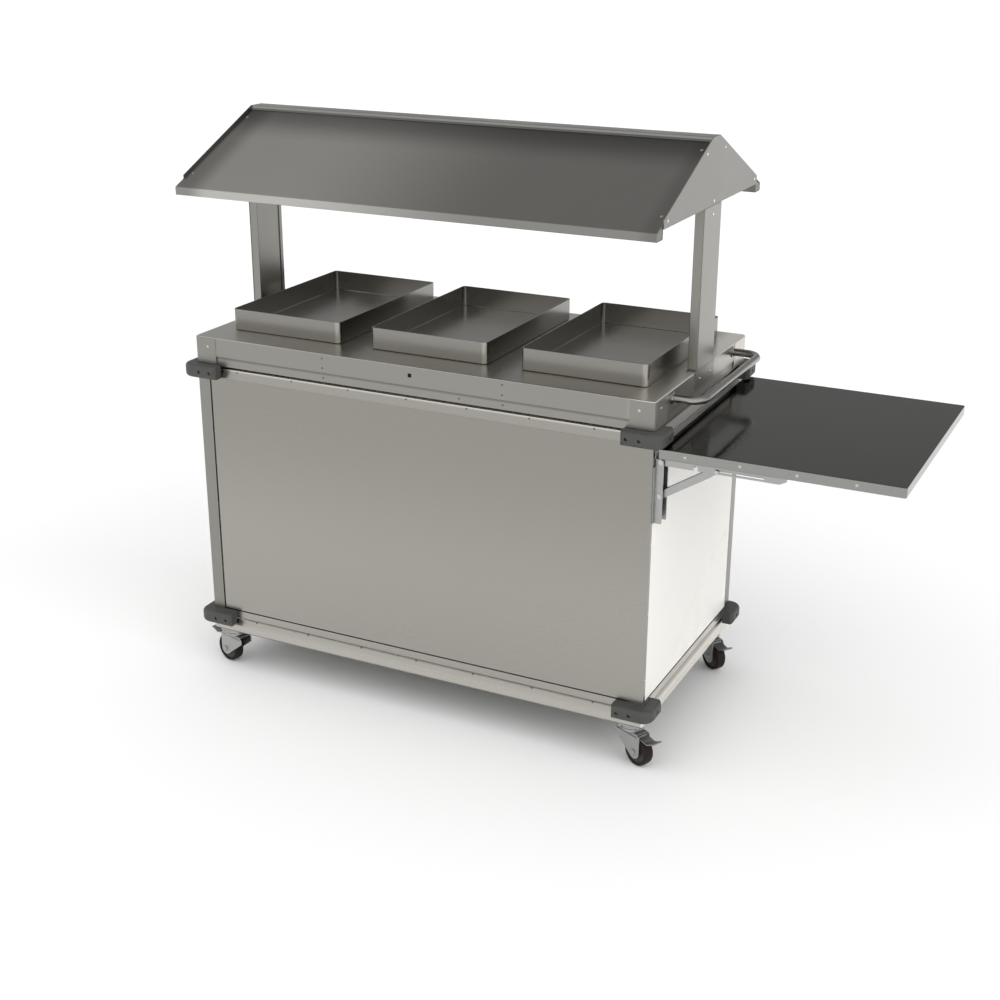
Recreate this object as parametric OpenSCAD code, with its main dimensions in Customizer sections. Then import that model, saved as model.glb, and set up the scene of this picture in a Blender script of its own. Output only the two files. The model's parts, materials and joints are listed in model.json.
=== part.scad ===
// Merchandising cart with a gabled canopy, three loose pans, a push handle and a fold-down end shelf.
// The length runs along X, the customer's side faces -Y, and Z is zero on the floor.

/* [Counter] */
// Length of the counter from end to end
counter_l = 1220; // [1080:1:1500]
// Depth of the counter from front to back
counter_d = 632; // [600:1:760]
// Height of the counter top above the floor
counter_h = 914; // [880:1:1000]
// Thickness of the folded sheet metal
sheet_t = 2; // [1.5:0.1:2.5]
// Height of the counter's turned-down edge
apron_h = 48; // [42:1:56]
// Height of the groove under the turned-down edge
groove_h = 2; // [1:0.5:3]
// Height of the fascia band below the groove
band_h = 20; // [16:1:26]
// Distance by which the fascia band stands back from the counter's edge
band_in = 3; // [2:0.5:5]
// Length of a corner cap along the front
cap_front_l = 60; // [45:1:90]
// Length of a corner cap along the end
cap_end_l = 88; // [60:1:110]
// Outer radius of the counter's corners
corner_r = 8; // [5:0.5:12]
// Distance by which the counter stands proud of the cabinet
counter_lap = 1; // [0.5:0.5:4]

/* [Cabinet] */
// Height of the base rail's lower edge above the floor
base_z = 114; // [110:1:130]
// Height of the base rail
base_rail_h = 60; // [50:1:80]
// Depth of the groove rolled into the base rail
base_groove_d = 6; // [3:0.5:9]
// Distance by which the base rail's lower lip stands out
base_lip_out = 2; // [0:0.5:4]
// Gap above the base rail
panel_gap = 3; // [2:0.5:5]
// Height of the upper rail that shows below the fascia
upper_rail_h = 32; // [26:1:44]
// Inward step of the upper rail under the fascia
joggle_d = 7; // [4:0.5:10]
// Width of a corner post
post_w = 34; // [28:1:45]
// Height of the hems that stiffen panels and shelves
hem_h = 18; // [12:1:24]
// Width of the front panel's fold round the right corner
fold_w = 12; // [8:1:20]
// Width of the under-frame's tubes
frame_tube_w = 30; // [25:1:40]
// Height of the under-frame's tubes
frame_tube_h = 40; // [30:1:44]
// Height of the middle shelf above the floor
mid_shelf_z = 490; // [350:1:620]
// Pitch of the screws along the base rail
rail_screw_pitch = 160; // [120:1:200]

/* [Rear doors] */
// Thickness of a door
door_t = 20; // [16:1:26]
// Running gap round a door
door_gap = 3; // [2:0.5:5]
// Radius of a hinge knuckle
knuckle_r = 5; // [4:0.5:7]
// Length of a hinge
hinge_l = 70; // [50:1:100]
// Length of a bar pull
pull_l = 128; // [90:1:180]

/* [Bumpers] */
// Thickness of a corner bumper
bumper_t = 30; // [24:1:40]
// Height of a corner bumper
bumper_h = 34; // [28:1:40]
// Radius of a bumper's outer edges
bumper_r = 9; // [5:0.5:13]
// Length of a bumper's arm along the front, from the cabinet's corner
bumper_front_l = 70; // [55:1:100]
// Length of a bumper's arm along the end, from the cabinet's corner
bumper_end_l = 50; // [36:1:70]
// Height of the lower bumpers' underside above the base rail's lower edge
bumper_low_rise = 22; // [14:1:26]

/* [Canopy] */
// Height of the canopy's ridge above the floor
ridge_z = 1441; // [1380:1:1600]
// Height of the top of the canopy's lips above the floor
lip_z = 1293; // [1240:1:1320]
// Depth of the canopy from lip to lip
canopy_d = 704; // [680:1:800]
// Width of the flat ridge
ridge_w = 48; // [36:1:70]
// Height of a lip
lip_h = 26; // [20:1:36]
// Depth of the boxed edge behind a lip
lip_box_d = 35; // [30:1:40]
// Step from the ridge cap down to the roof sheet
roof_step = 8; // [5:1:12]
// Distance by which a lip's top stands above the sheet
lip_step = 6; // [3:1:9]
// Distance by which a gable plate's edge stands back from the lip
gable_in = 35; // [28:1:45]
// Depth of a canopy post from front to back
canopy_post_d = 112; // [90:1:140]
// Thickness of a canopy post
canopy_post_t = 22; // [18:1:30]
// Length of the strap that runs down over the end of the counter
strap_drop = 42; // [30:1:46]

/* [Pans] */
// Length of a pan along the cart
pan_l = 312; // [260:1:350]
// Depth of a pan from front to back
pan_d = 485; // [420:1:530]
// Height of a pan
pan_h = 54; // [40:1:100]
// Share of the counter's free length that lies in each gap between two pans
pan_gap_share = 0.3667; // [0.3:0.0001:0.4]
// Distance from the counter's middle back to the pans' middle
pan_back = 16; // [0:1:24]
// Radius of a pan's upright corners
pan_r = 10; // [6:0.5:20]

/* [Handle] */
// Diameter of the handle's tube
handle_dia = 20; // [16:1:28]
// Distance of the handle's ends from the counter's front and back
handle_in = 104; // [96:1:130]
// Reach of the handle's middle line from the fascia
handle_out = 70; // [60:1:90]
// Radius of the handle's bends
handle_bend_r = 40; // [25:1:50]
// Distance of the handle below the counter top
handle_drop = 19; // [17:1:30]

/* [End shelf] */
// Length of the shelf
shelf_l = 542; // [420:1:560]
// Distance by which the shelf's sides stand back from the cabinet's
shelf_in = 3; // [1:0.5:8]
// Height of the shelf's edge
shelf_h = 24; // [20:1:30]
// Distance of the shelf's top below the upper bumpers
shelf_drop = 4; // [4:0.5:8]
// Gap between the cabinet and the shelf
shelf_gap = 9; // [9:0.5:11]

/* [Folding brackets] */
// Outer width of the channel leg on the cabinet
leg_w = 32; // [30:0.5:36]
// Distance of the leg's side from the cabinet's corner
leg_in = 13; // [12:0.5:16]
// Width of the flange on each side of the leg's web
leg_flange = 9; // [7:0.5:10]
// Length of the leg below its pivot
leg_l = 145; // [130:1:200]
// Distance of the leg's pivots from the cabinet
pivot_out = 12; // [12:0.5:15]
// Radius of the leg's rounded head
leg_head_r = 8.5; // [8:0.25:9.5]
// Distance of the pivot below the shelf's edge
pivot_drop = 11.5; // [11.5:0.5:14]
// Length of a slotted arm, from its pivot
arm_l = 284; // [260:1:340]
// Height of an arm below the pivot
arm_below = 8; // [7:0.25:8.5]
// Distance between the leg's two pivots
pivot_pitch = 80; // [70:1:90]
// Distance from the shelf pivot to the strut's pin with the shelf up
strut_reach = 128; // [110:1:140]
// Half height of a strut in its middle
strut_half_h = 8.5; // [7:0.25:8.5]
// Radius of the pivot pins
pin_r = 4; // [3:0.25:5]

/* [Casters] */
// Radius of a wheel
wheel_r = 37.5; // [35:0.5:40]
// Width of a wheel
wheel_w = 27; // [22:0.5:32]
// Distance from the swivel axis to the axle
trail = 25; // [18:0.5:28]
// Overall height of a caster
caster_h = 106; // [104:0.5:110]
// Side of a caster's square top plate
plate_s = 58; // [54:1:60]
// Thickness of a caster's top plate
plate_t = 4; // [3:0.5:5]
// Half length of a fork's crown
crown_half = 42; // [40:0.5:46]
// Radius of an axle
axle_r = 4; // [3:0.25:5]

/* [Hidden] */
$fn = 48;

// Colours of the finishes
steel = [0.66, 0.65, 0.62];
dark_steel = [0.45, 0.45, 0.43];
zinc = [0.62, 0.62, 0.6];
white_coat = [0.92, 0.91, 0.88];
black = [0.2, 0.21, 0.2];
tread = [0.14, 0.11, 0.1];

// Clearances and overruns
seam = 0.4;
run_gap = 0.05;
free_gap = 0.5;
cut = 2;

// Cabinet outline
hl = counter_l / 2 - counter_lap;
hd = counter_d / 2 - counter_lap;

// Pans share the length between the canopy's posts
pan_pitch = pan_l + (counter_l - 2 * canopy_post_t - 3 * pan_l) * pan_gap_share;

// Levels from the counter top down
apron_z = counter_h - apron_h;
band_top = apron_z - groove_h;
band_z = band_top - band_h;
upper_rail_z = band_z - upper_rail_h;
joggle_share = 0.62;
joggle_z = upper_rail_z + upper_rail_h * joggle_share;
top_under = counter_h - sheet_t;

// Levels from the floor up
base_top = base_z + base_rail_h;
panel_z = base_top + panel_gap;
frame_top = caster_h + frame_tube_h;

// Heights of the rivets in the front panel's fold, as shares of the panel's height
fold_rivet_shares = [0.093, 0.362, 0.631];

// Profile of the base rail: share of the groove's depth, share of the rail's height
base_profile_shares = [[0, 1], [0, 0.69], [-1, 0.58], [-1, 0.5], [0, 0.27]];

// Bumpers
bumper_z = upper_rail_z + 1 * seam;
bumper_low_z = base_z + bumper_low_rise;
screw_recess_r = 4.2;
screw_recess_d = 5;
bumper_screw_r = 3.8;
bumper_screw_h = 3;
bumper_chamfer = 5;
bumper_front_screws = [15, 46];
bumper_end_screw = 20;

// Canopy
canopy_half = counter_l / 2;
gable_foot_share = 0.18;
gable_foot_z = lip_z - lip_h * gable_foot_share;
roof_slope = (ridge_z - lip_z) / (canopy_d / 2 - ridge_w / 2);
roof_tv = sheet_t * sqrt(1 + roof_slope * roof_slope);
sheet_top = ridge_z - roof_step;
sheet_slope = (sheet_top - (lip_z - lip_step)) / (canopy_d / 2 - sheet_t - ridge_w / 2);
post_top_clear = 14;
post_top = roof_under(canopy_post_d / 2) - post_top_clear;
rivet_r = 3.5;
rivet_h = 1.2;
gable_flange = 15;
post_groove_w = 6;
post_groove_d = 3;
post_groove_edge = 13;
strap_w = 130;

// End shelf and brackets
shelf_d = 2 * (hd - shelf_in);
shelf_top = bumper_z - shelf_drop;
shelf_under = shelf_top - shelf_h;
shelf_x0 = hl + shelf_gap;
shelf_x1 = shelf_x0 + shelf_l;
shelf_r = 5;
pivot_x = hl + pivot_out;
pivot_z = shelf_under - pivot_drop;
strut_z = pivot_z - pivot_pitch;
strut_len = sqrt(strut_reach * strut_reach + pivot_pitch * pivot_pitch);
strut_up = atan2(pivot_pitch, strut_reach);
folded_reach = strut_len + pivot_pitch;
leg_wall = 2.5;
pin_head_r = 6.5;
pin_head_h = 2;
stud_drop = 3;
stud_r = 4.5;
arm_half_w = leg_w / 2 - leg_wall - pin_head_h - free_gap;
arm_wall = 2;
strut_half_w = arm_half_w - arm_wall - 2 * free_gap;
strut_wall = 2;
strut_end_r = arm_below - 3 * free_gap;
strut_taper = 24;
strut_pin_r = 3;
bracket_y = hd - leg_in - leg_w / 2;
arm_end_cut = 16;
handle_z = counter_h - handle_drop;
handle_l = counter_d - 2 * handle_in;
flange_r = 14;
flange_t = 2.5;

// Doors
door_w = hl - post_w - 1.5 * door_gap;
door_x0 = door_gap / 2;
door_z0 = base_top + door_gap;
door_z1 = upper_rail_z - door_gap;
hinge_x = hl - post_w - door_gap / 2;
hinge_y = hd + knuckle_r + free_gap;
hinge_pin_r = 2.5;
leaf_t = 2;
leaf_w = 22;
hinge_inset = 70;
pull_r = 5;
pull_out = 24;
pull_edge = 40;
pull_z = (door_z0 + door_z1) / 2 + pull_l;

// Casters: swivel axes, and how far each caster is turned at rest
caster_in = 37;
swivel_x = hl - caster_in;
swivel_y = hd - caster_in;
caster_turns = [164, -26, 160, -35];
leg_plate_t = 2.5;
fork_half_w = wheel_w / 2 + 2 + leg_plate_t;
fork_top = wheel_r * 2 + 12;
race_r = 28;
race_gap = 0.3;
kingpin_r = 5;
kingpin_head_r = 8;
kingpin_head_h = 3;
plate_z = caster_h - plate_t;
plate_bolt_in = plate_s / 2 - 6;
plate_bolt_r = 4.5;
race_split = (fork_top + plate_z) / 2;
pedal_x = crown_half - 8;
pedal_z = fork_top - 8;
pedal_half_w = fork_half_w - leg_plate_t - 1;
pedal_pin_r = 2.5;
pedal_l = 30;
pedal_t = 3;
pedal_tilt = 14;
pedal_toe_tilt = 24;
pedal_toe_l = 22;
pedal_end_r = 2.4;

// The whole outline is centred over the origin: brake pedals on the left, shelf on the right
pedal_end = pedal_x + pedal_l * cos(pedal_tilt) + pedal_toe_l * cos(pedal_toe_tilt) + pedal_end_r;
pedal_outs = [for (a = [caster_turns[0], caster_turns[2]])
              pedal_end * abs(cos(a)) + pedal_half_w * abs(sin(a))];
body_x = -(shelf_x1 - max(hl + bumper_t, swivel_x + max(pedal_outs))) / 2;

// Height of the roof sheet's upper face and underside at a distance from the middle
function roof_over(y) = sheet_top - max(0, y - ridge_w / 2) * sheet_slope;
function roof_under(y) = roof_over(y) - roof_tv;

// Helpers
module in_place() { translate([body_x, 0, 0]) children(); }
module slab(low, high) { translate(low) cube(high - low); }
module both_x() { for (m = [0, 1]) mirror([m, 0, 0]) children(); }
module both_y() { for (m = [0, 1]) mirror([0, m, 0]) children(); }
module along_x(x0, x1) { translate([x0, 0, 0]) rotate([90, 0, 90]) linear_extrude(x1 - x0) children(); }
module along_y(y0, y1) { translate([0, y1, 0]) rotate([90, 0, 0]) linear_extrude(y1 - y0) children(); }
module pin_y(x, z, r, y0, y1) { translate([x, y1, z]) rotate([90, 0, 0]) cylinder(r = r, h = y1 - y0); }

// Rectangle with round corners, centred
module round_rect(l, d, r) {
    square([l - 2 * r, d], center = true);
    square([l, d - 2 * r], center = true);
    for (x = [-1, 1], y = [-1, 1]) translate([x * (l / 2 - r), y * (d / 2 - r)]) circle(r);
}

// One side of a mitred ring, facing -Y; the child is the section, drawn outwards and upwards
module ring_side(half_len, half_dist, reach, z0, z1) {
    wide = half_len + reach - seam;
    narrow = half_len - reach - seam;
    intersection() {
        along_x(-half_len - reach, half_len + reach) translate([-half_dist, 0]) mirror([1, 0]) children();
        translate([0, -half_dist, z0]) linear_extrude(z1 - z0)
            polygon([[-wide, -reach], [wide, -reach], [narrow, reach], [-narrow, reach]]);
    }
}

// A ring of four separate sides round the cabinet
module ring(half_l, half_d, reach, z0, z1) {
    both_y() ring_side(half_l, half_d, reach, z0, z1) children();
    both_x() rotate([0, 0, 90]) ring_side(half_d, half_l, reach, z0, z1) children();
}

// Under-frame of welded tube, with pads over the casters
module base_frame() {
    inner = hl - base_groove_d - sheet_t;
    depth = hd - base_groove_d - sheet_t;
    w = frame_tube_w;
    bay = (2 * inner - 4 * w) / 6;
    color(dark_steel) in_place() {
        difference() {
            slab([-inner, -depth, caster_h], [inner, depth, frame_top]);
            for (i = [-1 : 1]) translate([i * (2 * inner - w) / 3, 0, 0])
                slab([-bay, w - depth, caster_h - cut], [bay, depth - w, frame_top + cut]);
        }
        for (x = [-1, 1], y = [-1, 1])
            slab([x * swivel_x - plate_s / 2, y * swivel_y - plate_s / 2, caster_h],
                 [x * swivel_x + plate_s / 2, y * swivel_y + plate_s / 2, caster_h + plate_t]);
    }
}

// Floor of the cabinet: a folded tray with its hems down on the frame
module cabinet_floor() {
    x1 = hl - base_groove_d - sheet_t;
    y1 = hd - base_groove_d - sheet_t;
    color(steel) in_place() difference() {
        slab([-x1, -y1, frame_top], [x1, y1, base_top]);
        slab([sheet_t - x1, sheet_t - y1, frame_top - cut],
             [x1 - sheet_t, y1 - sheet_t, base_top - sheet_t]);
    }
}

// Section of the base rail, drawn outwards and upwards from the cabinet's face
module base_section() {
    outer = concat([for (p = base_profile_shares) [p[0] * base_groove_d, base_z + p[1] * base_rail_h]],
                   [[base_lip_out, base_z + sheet_t], [base_lip_out, base_z]]);
    last = len(outer) - 1;
    polygon(concat(outer, [for (i = [0 : last]) outer[last - i] - [sheet_t, 0]]));
}

module base_rail() {
    color(steel) in_place() ring(hl, hd, bumper_t, base_z - cut, base_top + cut) base_section();
}

// Corner posts: three stand at the cabinet's face, the front right one behind the front panel's fold
module corner_posts() {
    foot = base_top;
    color(steel) in_place() for (x = [-1, 1], y = [-1, 1]) {
        back = (x > 0 && y < 0) ? sheet_t : 0;
        difference() {
            translate([x * (hl - back), y * (hd - back), foot]) mirror([x > 0 ? 1 : 0, 0, 0])
                mirror([0, y > 0 ? 1 : 0, 0]) cube([post_w, post_w, upper_rail_z - seam - foot]);
            translate([x * (hl - back - sheet_t), y * (hd - back - sheet_t), foot - cut])
                mirror([x > 0 ? 1 : 0, 0, 0]) mirror([0, y > 0 ? 1 : 0, 0])
                    cube([post_w, post_w, counter_h]);
        }
    }
}

// Front panel: a folded tray whose right edge wraps round the corner
module front_panel() {
    x0 = -hl + post_w + panel_gap;
    z1 = upper_rail_z - seam;
    t = sheet_t;
    color(steel) in_place() translate([0, -hd, 0]) {
        difference() {
            slab([x0, 0, panel_z], [hl, hem_h, z1]);
            slab([x0 + t, t, panel_z + t], [hl + cut, hem_h + cut, z1 - t]);
            slab([hl - post_w - 2 * t, t, panel_z - cut], [hl + cut, hem_h + cut, z1 + cut]);
        }
        slab([hl - t, 0, panel_z], [hl, fold_w, z1]);
    }
}

// A coated end panel between two lines of the depth, on the right end
module end_panel(y0, y1) {
    z1 = upper_rail_z - seam;
    t = sheet_t;
    difference() {
        slab([hl - hem_h, y0, panel_z], [hl, y1, z1]);
        slab([hl - hem_h - cut, y0 + t, panel_z + t], [hl - t, y1 - t, z1 - t]);
        for (y = [y0 - cut, y1 + cut - post_w])
            slab([hl - hem_h - cut, y, panel_z - cut], [hl - t, y + post_w, z1 + cut]);
    }
}

module left_end_panel() {
    y1 = hd - post_w - seam;
    color(white_coat) in_place() mirror([1, 0, 0]) end_panel(-y1, y1);
}

module right_end_panel() {
    color(white_coat) in_place() end_panel(fold_w - hd + seam, hd - post_w - seam);
}

// Upper rail: its face steps inwards under the fascia and runs up to the counter top
module upper_rail() {
    face = [[0, upper_rail_z], [0, upper_rail_z + sheet_t], [-joggle_d, joggle_z], [-joggle_d, top_under]];
    color(steel) in_place() ring(hl, hd, bumper_t, upper_rail_z - cut, counter_h)
        polygon(concat(face, [for (i = [3 : -1 : 0]) face[i] - [sheet_t, 0]]));
}

// Middle shelf, a folded tray on four rests
module middle_shelf() {
    x1 = hl - hem_h - free_gap;
    y0 = -hd + post_w + sheet_t;
    y1 = hd - post_w;
    color(steel) in_place() difference() {
        slab([-x1, y0, mid_shelf_z - hem_h], [x1, y1, mid_shelf_z]);
        slab([sheet_t - x1, y0 + sheet_t, mid_shelf_z - hem_h - cut],
             [x1 - sheet_t, y1 - sheet_t, mid_shelf_z - sheet_t]);
    }
}

// Angle rests that carry the middle shelf from the corner posts
module shelf_rests() {
    z1 = mid_shelf_z - hem_h;
    color(zinc) in_place() for (x = [-1, 1], y = [-1, 1]) {
        back = (x > 0 && y < 0) ? sheet_t : 0;
        translate([x * (hl - back - sheet_t), y * (hd - back - sheet_t), z1 - hem_h])
            mirror([x > 0 ? 1 : 0, 0, 0]) mirror([0, y > 0 ? 1 : 0, 0]) {
                cube([sheet_t, post_w * 1.6, hem_h]);
                translate([0, 0, hem_h - sheet_t]) cube([post_w, post_w * 1.6, sheet_t]);
            }
    }
}

// Channels under the counter top, from the front rail to the rear rail
module counter_stiffeners() {
    half = frame_tube_w / 2;
    y1 = hd - joggle_d - sheet_t;
    color(steel) in_place() for (x = [-1, 0, 1]) translate([x * pan_pitch, 0, 0]) difference() {
        slab([-half, -y1, top_under - frame_tube_w], [half, y1, top_under]);
        slab([sheet_t - half, -y1 - cut, top_under - frame_tube_w - cut],
             [half - sheet_t, y1 + cut, top_under - sheet_t]);
    }
}

// Counter top with its hemmed edge turned down between the corner caps
module countertop() {
    r = corner_r - sheet_t;
    color(steel) in_place() difference() {
        translate([0, 0, apron_z]) linear_extrude(apron_h) {
            round_rect(counter_l - 2 * sheet_t, counter_d - 2 * sheet_t, r);
            square([counter_l - 2 * cap_front_l, counter_d], center = true);
            square([counter_l, counter_d - 2 * cap_end_l], center = true);
        }
        translate([0, 0, apron_z - cut]) linear_extrude(apron_h + cut - sheet_t)
            round_rect(counter_l - 4 * sheet_t, counter_d - 4 * sheet_t, r - sheet_t);
    }
}

// Caps over the counter's corners
module corner_caps() {
    color(steel) in_place() both_x() both_y() intersection() {
        translate([0, 0, apron_z]) linear_extrude(apron_h) difference() {
            round_rect(counter_l, counter_d, corner_r);
            round_rect(counter_l - 2 * sheet_t, counter_d - 2 * sheet_t, corner_r - sheet_t);
        }
        slab([counter_l / 2 - cap_front_l + seam, counter_d / 2 - cap_end_l + seam, apron_z],
             [counter_l / 2, counter_d / 2, counter_h]);
    }
}

// Band below the groove, held off the upper rail by its return
module fascia_band() {
    back = band_in - counter_lap - joggle_d;
    color(steel) in_place()
        ring(counter_l / 2 - band_in, counter_d / 2 - band_in, cap_front_l, band_z - cut, apron_z)
            polygon([[0, band_z], [0, band_top], [back, band_top], [back, band_top - sheet_t],
                     [-sheet_t, band_top - sheet_t], [-sheet_t, band_z]]);
}

// Rivet head standing out towards -Y
module rivet(r) {
    rotate([90, 0, 0]) {
        cylinder(r = r, h = rivet_h / 2);
        cylinder(r = r * 0.7, h = rivet_h);
    }
}

// Rivets of the caps and of the front panel's fold, screws of the rails
module panel_fasteners() {
    cap_in = 37;
    cap_z = counter_h - apron_h / 2;
    pair_x = 240;
    pair_rise = 12;
    small_r = 2.2;
    base_screw_z = base_z + base_rail_h * (base_profile_shares[2][1] + base_profile_shares[3][1]) / 2;
    count = floor((hl - bumper_front_l) / rail_screw_pitch);
    color(zinc) in_place() {
        both_x() both_y() {
            translate([counter_l / 2 - cap_in, -counter_d / 2, cap_z]) rivet(rivet_r);
            translate([counter_l / 2, cap_in - counter_d / 2, cap_z]) rotate([0, 0, 90]) rivet(rivet_r);
            for (z = [cap_z - pair_rise, cap_z + pair_rise])
                translate([pair_x, -counter_d / 2, z]) rivet(small_r);
        }
        both_y() for (i = [-count : count]) {
            translate([i * rail_screw_pitch, base_groove_d - hd, base_screw_z]) rivet(small_r);
            translate([i * rail_screw_pitch, joggle_d - hd, joggle_z + small_r * 1.5]) rivet(small_r);
        }
        for (k = fold_rivet_shares)
            translate([hl, fold_w / 2 - hd, panel_z + k * (upper_rail_z - panel_z)])
                rotate([0, 0, 90]) rivet(small_r);
    }
}

// Section of a bumper, drawn outwards and upwards
module bumper_section() {
    square([bumper_t - bumper_r, bumper_h]);
    translate([0, bumper_r]) square([bumper_t, bumper_h - 2 * bumper_r]);
    for (z = [bumper_r, bumper_h - bumper_r]) translate([bumper_t - bumper_r, z]) circle(bumper_r);
}

// One bumper round the front right corner, its inner corner at the origin
module corner_bumper() {
    c = bumper_chamfer;
    difference() {
        union() {
            along_x(-bumper_front_l, 0) mirror([1, 0]) bumper_section();
            rotate([0, 0, 90]) along_x(0, bumper_end_l) mirror([1, 0]) bumper_section();
            rotate([0, 0, -90]) rotate_extrude(angle = 90) bumper_section();
        }
        translate([-bumper_front_l, -bumper_t, -cut]) rotate([0, 0, 45])
            slab([-c, -c, 0], [c, c, bumper_h + 2 * cut]);
        translate([bumper_t, bumper_end_l, -cut]) rotate([0, 0, 45])
            slab([-c, -c, 0], [c, c, bumper_h + 2 * cut]);
        for (x = bumper_front_screws)
            translate([x - bumper_front_l, screw_recess_d - bumper_t, bumper_h / 2])
                rotate([90, 0, 0]) cylinder(r = screw_recess_r, h = screw_recess_d + cut);
        translate([bumper_t - screw_recess_d, bumper_end_screw, bumper_h / 2])
            rotate([0, 90, 0]) cylinder(r = screw_recess_r, h = screw_recess_d + cut);
    }
}

module bumper_set(z) {
    both_x() both_y() translate([hl, -hd, z]) corner_bumper();
}

module upper_bumpers() { color(black) in_place() bumper_set(bumper_z); }
module lower_bumpers() { color(black) in_place() bumper_set(bumper_low_z); }

// Screws at the bottom of the bumpers' recesses
module bumper_screws() {
    color(dark_steel) in_place() for (z = [bumper_z, bumper_low_z]) both_x() both_y()
        translate([hl, -hd, z + bumper_h / 2]) {
            for (x = bumper_front_screws) translate([x - bumper_front_l, screw_recess_d - bumper_t, 0])
                rotate([90, 0, 0]) cylinder(r = bumper_screw_r, h = bumper_screw_h);
            translate([bumper_t - screw_recess_d, bumper_end_screw, 0])
                rotate([0, 90, 0]) cylinder(r = bumper_screw_r, h = bumper_screw_h);
        }
}

// Canopy post on the right end: a flat tube with a groove inside, a foot plate and a strap below it
module canopy_post() {
    half = canopy_post_d / 2;
    x0 = canopy_half - canopy_post_t;
    difference() {
        slab([x0, -half, counter_h], [canopy_half, half, post_top]);
        slab([x0 + sheet_t + post_groove_d, sheet_t - half, counter_h - cut],
             [canopy_half - sheet_t, half - sheet_t, post_top + cut]);
        slab([x0 - cut, half - post_groove_edge - post_groove_w, counter_h - cut],
             [x0 + post_groove_d, half - post_groove_edge, post_top + cut]);
    }
    x1 = canopy_half + sheet_t;
    foot = strap_w / 2;
    slab([canopy_half, -half, counter_h], [x1, half, gable_foot_z - seam]);
    slab([canopy_half, -foot, counter_h - strap_drop], [x1, foot, counter_h + sheet_t]);
    slab([x0, -foot, counter_h], [x1, foot, counter_h + sheet_t]);
}

module left_canopy_post() { color(steel) in_place() mirror([1, 0, 0]) canopy_post(); }
module right_canopy_post() { color(steel) in_place() canopy_post(); }

// Gable plate of the right end, with the flange that carries the roof sheet
module gable() {
    half = canopy_d / 2 - gable_in;
    rw = ridge_w / 2;
    edge_z = ridge_z - (half - rw) * roof_slope;
    seat = half - lip_box_d / 2;
    along_x(canopy_half, canopy_half + sheet_t)
        polygon([[-half, gable_foot_z], [-half, edge_z], [-rw, ridge_z], [rw, ridge_z], [half, edge_z],
                 [half, gable_foot_z]]);
    flange = [for (y = [-seat, -rw, rw, seat]) [y, roof_under(abs(y))]];
    along_x(canopy_half - gable_flange, canopy_half)
        polygon(concat(flange, [for (i = [3 : -1 : 0]) flange[i] - [0, roof_tv]]));
}

module left_gable() { color(steel) in_place() mirror([1, 0, 0]) gable(); }
module right_gable() { color(steel) in_place() gable(); }

// Roof sheet, folded along the ridge, with boxed lips
module roof_sheet() {
    edge = canopy_d / 2;
    rw = ridge_w / 2;
    foot = lip_z - lip_h;
    box_in = edge - lip_box_d;
    t = sheet_t;
    ends = [-edge + t / 2, -rw, rw, edge - t / 2];
    color(steel) in_place() along_x(-canopy_half, canopy_half) {
        polygon(concat([for (y = ends) [y, roof_over(abs(y))]],
                       [for (i = [3 : -1 : 0]) [ends[i], roof_under(abs(ends[i]))]]));
        for (m = [0, 1]) mirror([m, 0]) {
            translate([edge - t, foot]) square([t, lip_h]);
            translate([box_in, foot]) square([lip_box_d, t]);
            translate([box_in, foot]) square([t, roof_under(box_in + t) + t / 2 - foot]);
        }
    }
}

// Cap along the ridge
module ridge_cap() {
    rw = ridge_w / 2;
    color(steel) in_place() along_x(-canopy_half, canopy_half) difference() {
        translate([-rw, sheet_top]) square([ridge_w, roof_step]);
        translate([sheet_t - rw, sheet_top - cut])
            square([ridge_w - 2 * sheet_t, roof_step + cut - sheet_t]);
    }
}

// Rivets and screws of the canopy
module canopy_rivets() {
    slope_deg = atan(sheet_slope);
    high = 61;
    low = 296;
    inset = 12;
    edge_drop = 15;
    post_screw_rise = 10;
    strap_screw_y = 35;
    out = canopy_half + sheet_t;
    color(zinc) in_place() both_x() {
        for (y = [-low, -high, high, low])
            translate([out, y, ridge_z - (abs(y) - ridge_w / 2) * roof_slope - edge_drop])
                rotate([0, 0, 90]) rivet(rivet_r);
        for (z = [gable_foot_z + post_screw_rise, gable_foot_z - 2 * post_screw_rise])
            translate([out, 0, z]) rotate([0, 0, 90]) rivet(rivet_r);
        both_y() {
            for (y = [high, low]) translate([canopy_half - inset, -y, roof_over(y)])
                rotate([slope_deg, 0, 0]) translate([0, 0, run_gap / 2]) cylinder(r = rivet_r, h = rivet_h);
            translate([out, strap_screw_y, counter_h - strap_drop / 2]) rotate([0, 0, 90]) rivet(rivet_r);
        }
    }
}

// Open pan with round upright corners
module pan(x) {
    color(steel) in_place() translate([x, pan_back, counter_h]) difference() {
        linear_extrude(pan_h) round_rect(pan_l, pan_d, pan_r);
        translate([0, 0, sheet_t]) linear_extrude(pan_h)
            round_rect(pan_l - 2 * sheet_t, pan_d - 2 * sheet_t, pan_r - sheet_t);
    }
}

module left_pan() { pan(-pan_pitch); }
module middle_pan() { pan(0); }
module right_pan() { pan(pan_pitch); }

// Push handle: a bent tube on the right end
module push_handle() {
    x0 = counter_l / 2 + flange_t;
    half = handle_l / 2;
    r = handle_dia / 2;
    bend_x = counter_l / 2 + handle_out - handle_bend_r;
    color(steel) in_place() translate([0, 0, handle_z]) {
        both_y() {
            translate([x0, half, 0]) rotate([0, 90, 0]) cylinder(r = r, h = bend_x - x0);
            translate([bend_x, half - handle_bend_r, 0]) rotate_extrude(angle = 90)
                translate([handle_bend_r, 0]) circle(r);
        }
        translate([bend_x + handle_bend_r, half - handle_bend_r, 0]) rotate([90, 0, 0])
            cylinder(r = r, h = handle_l - 2 * handle_bend_r);
    }
}

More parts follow.
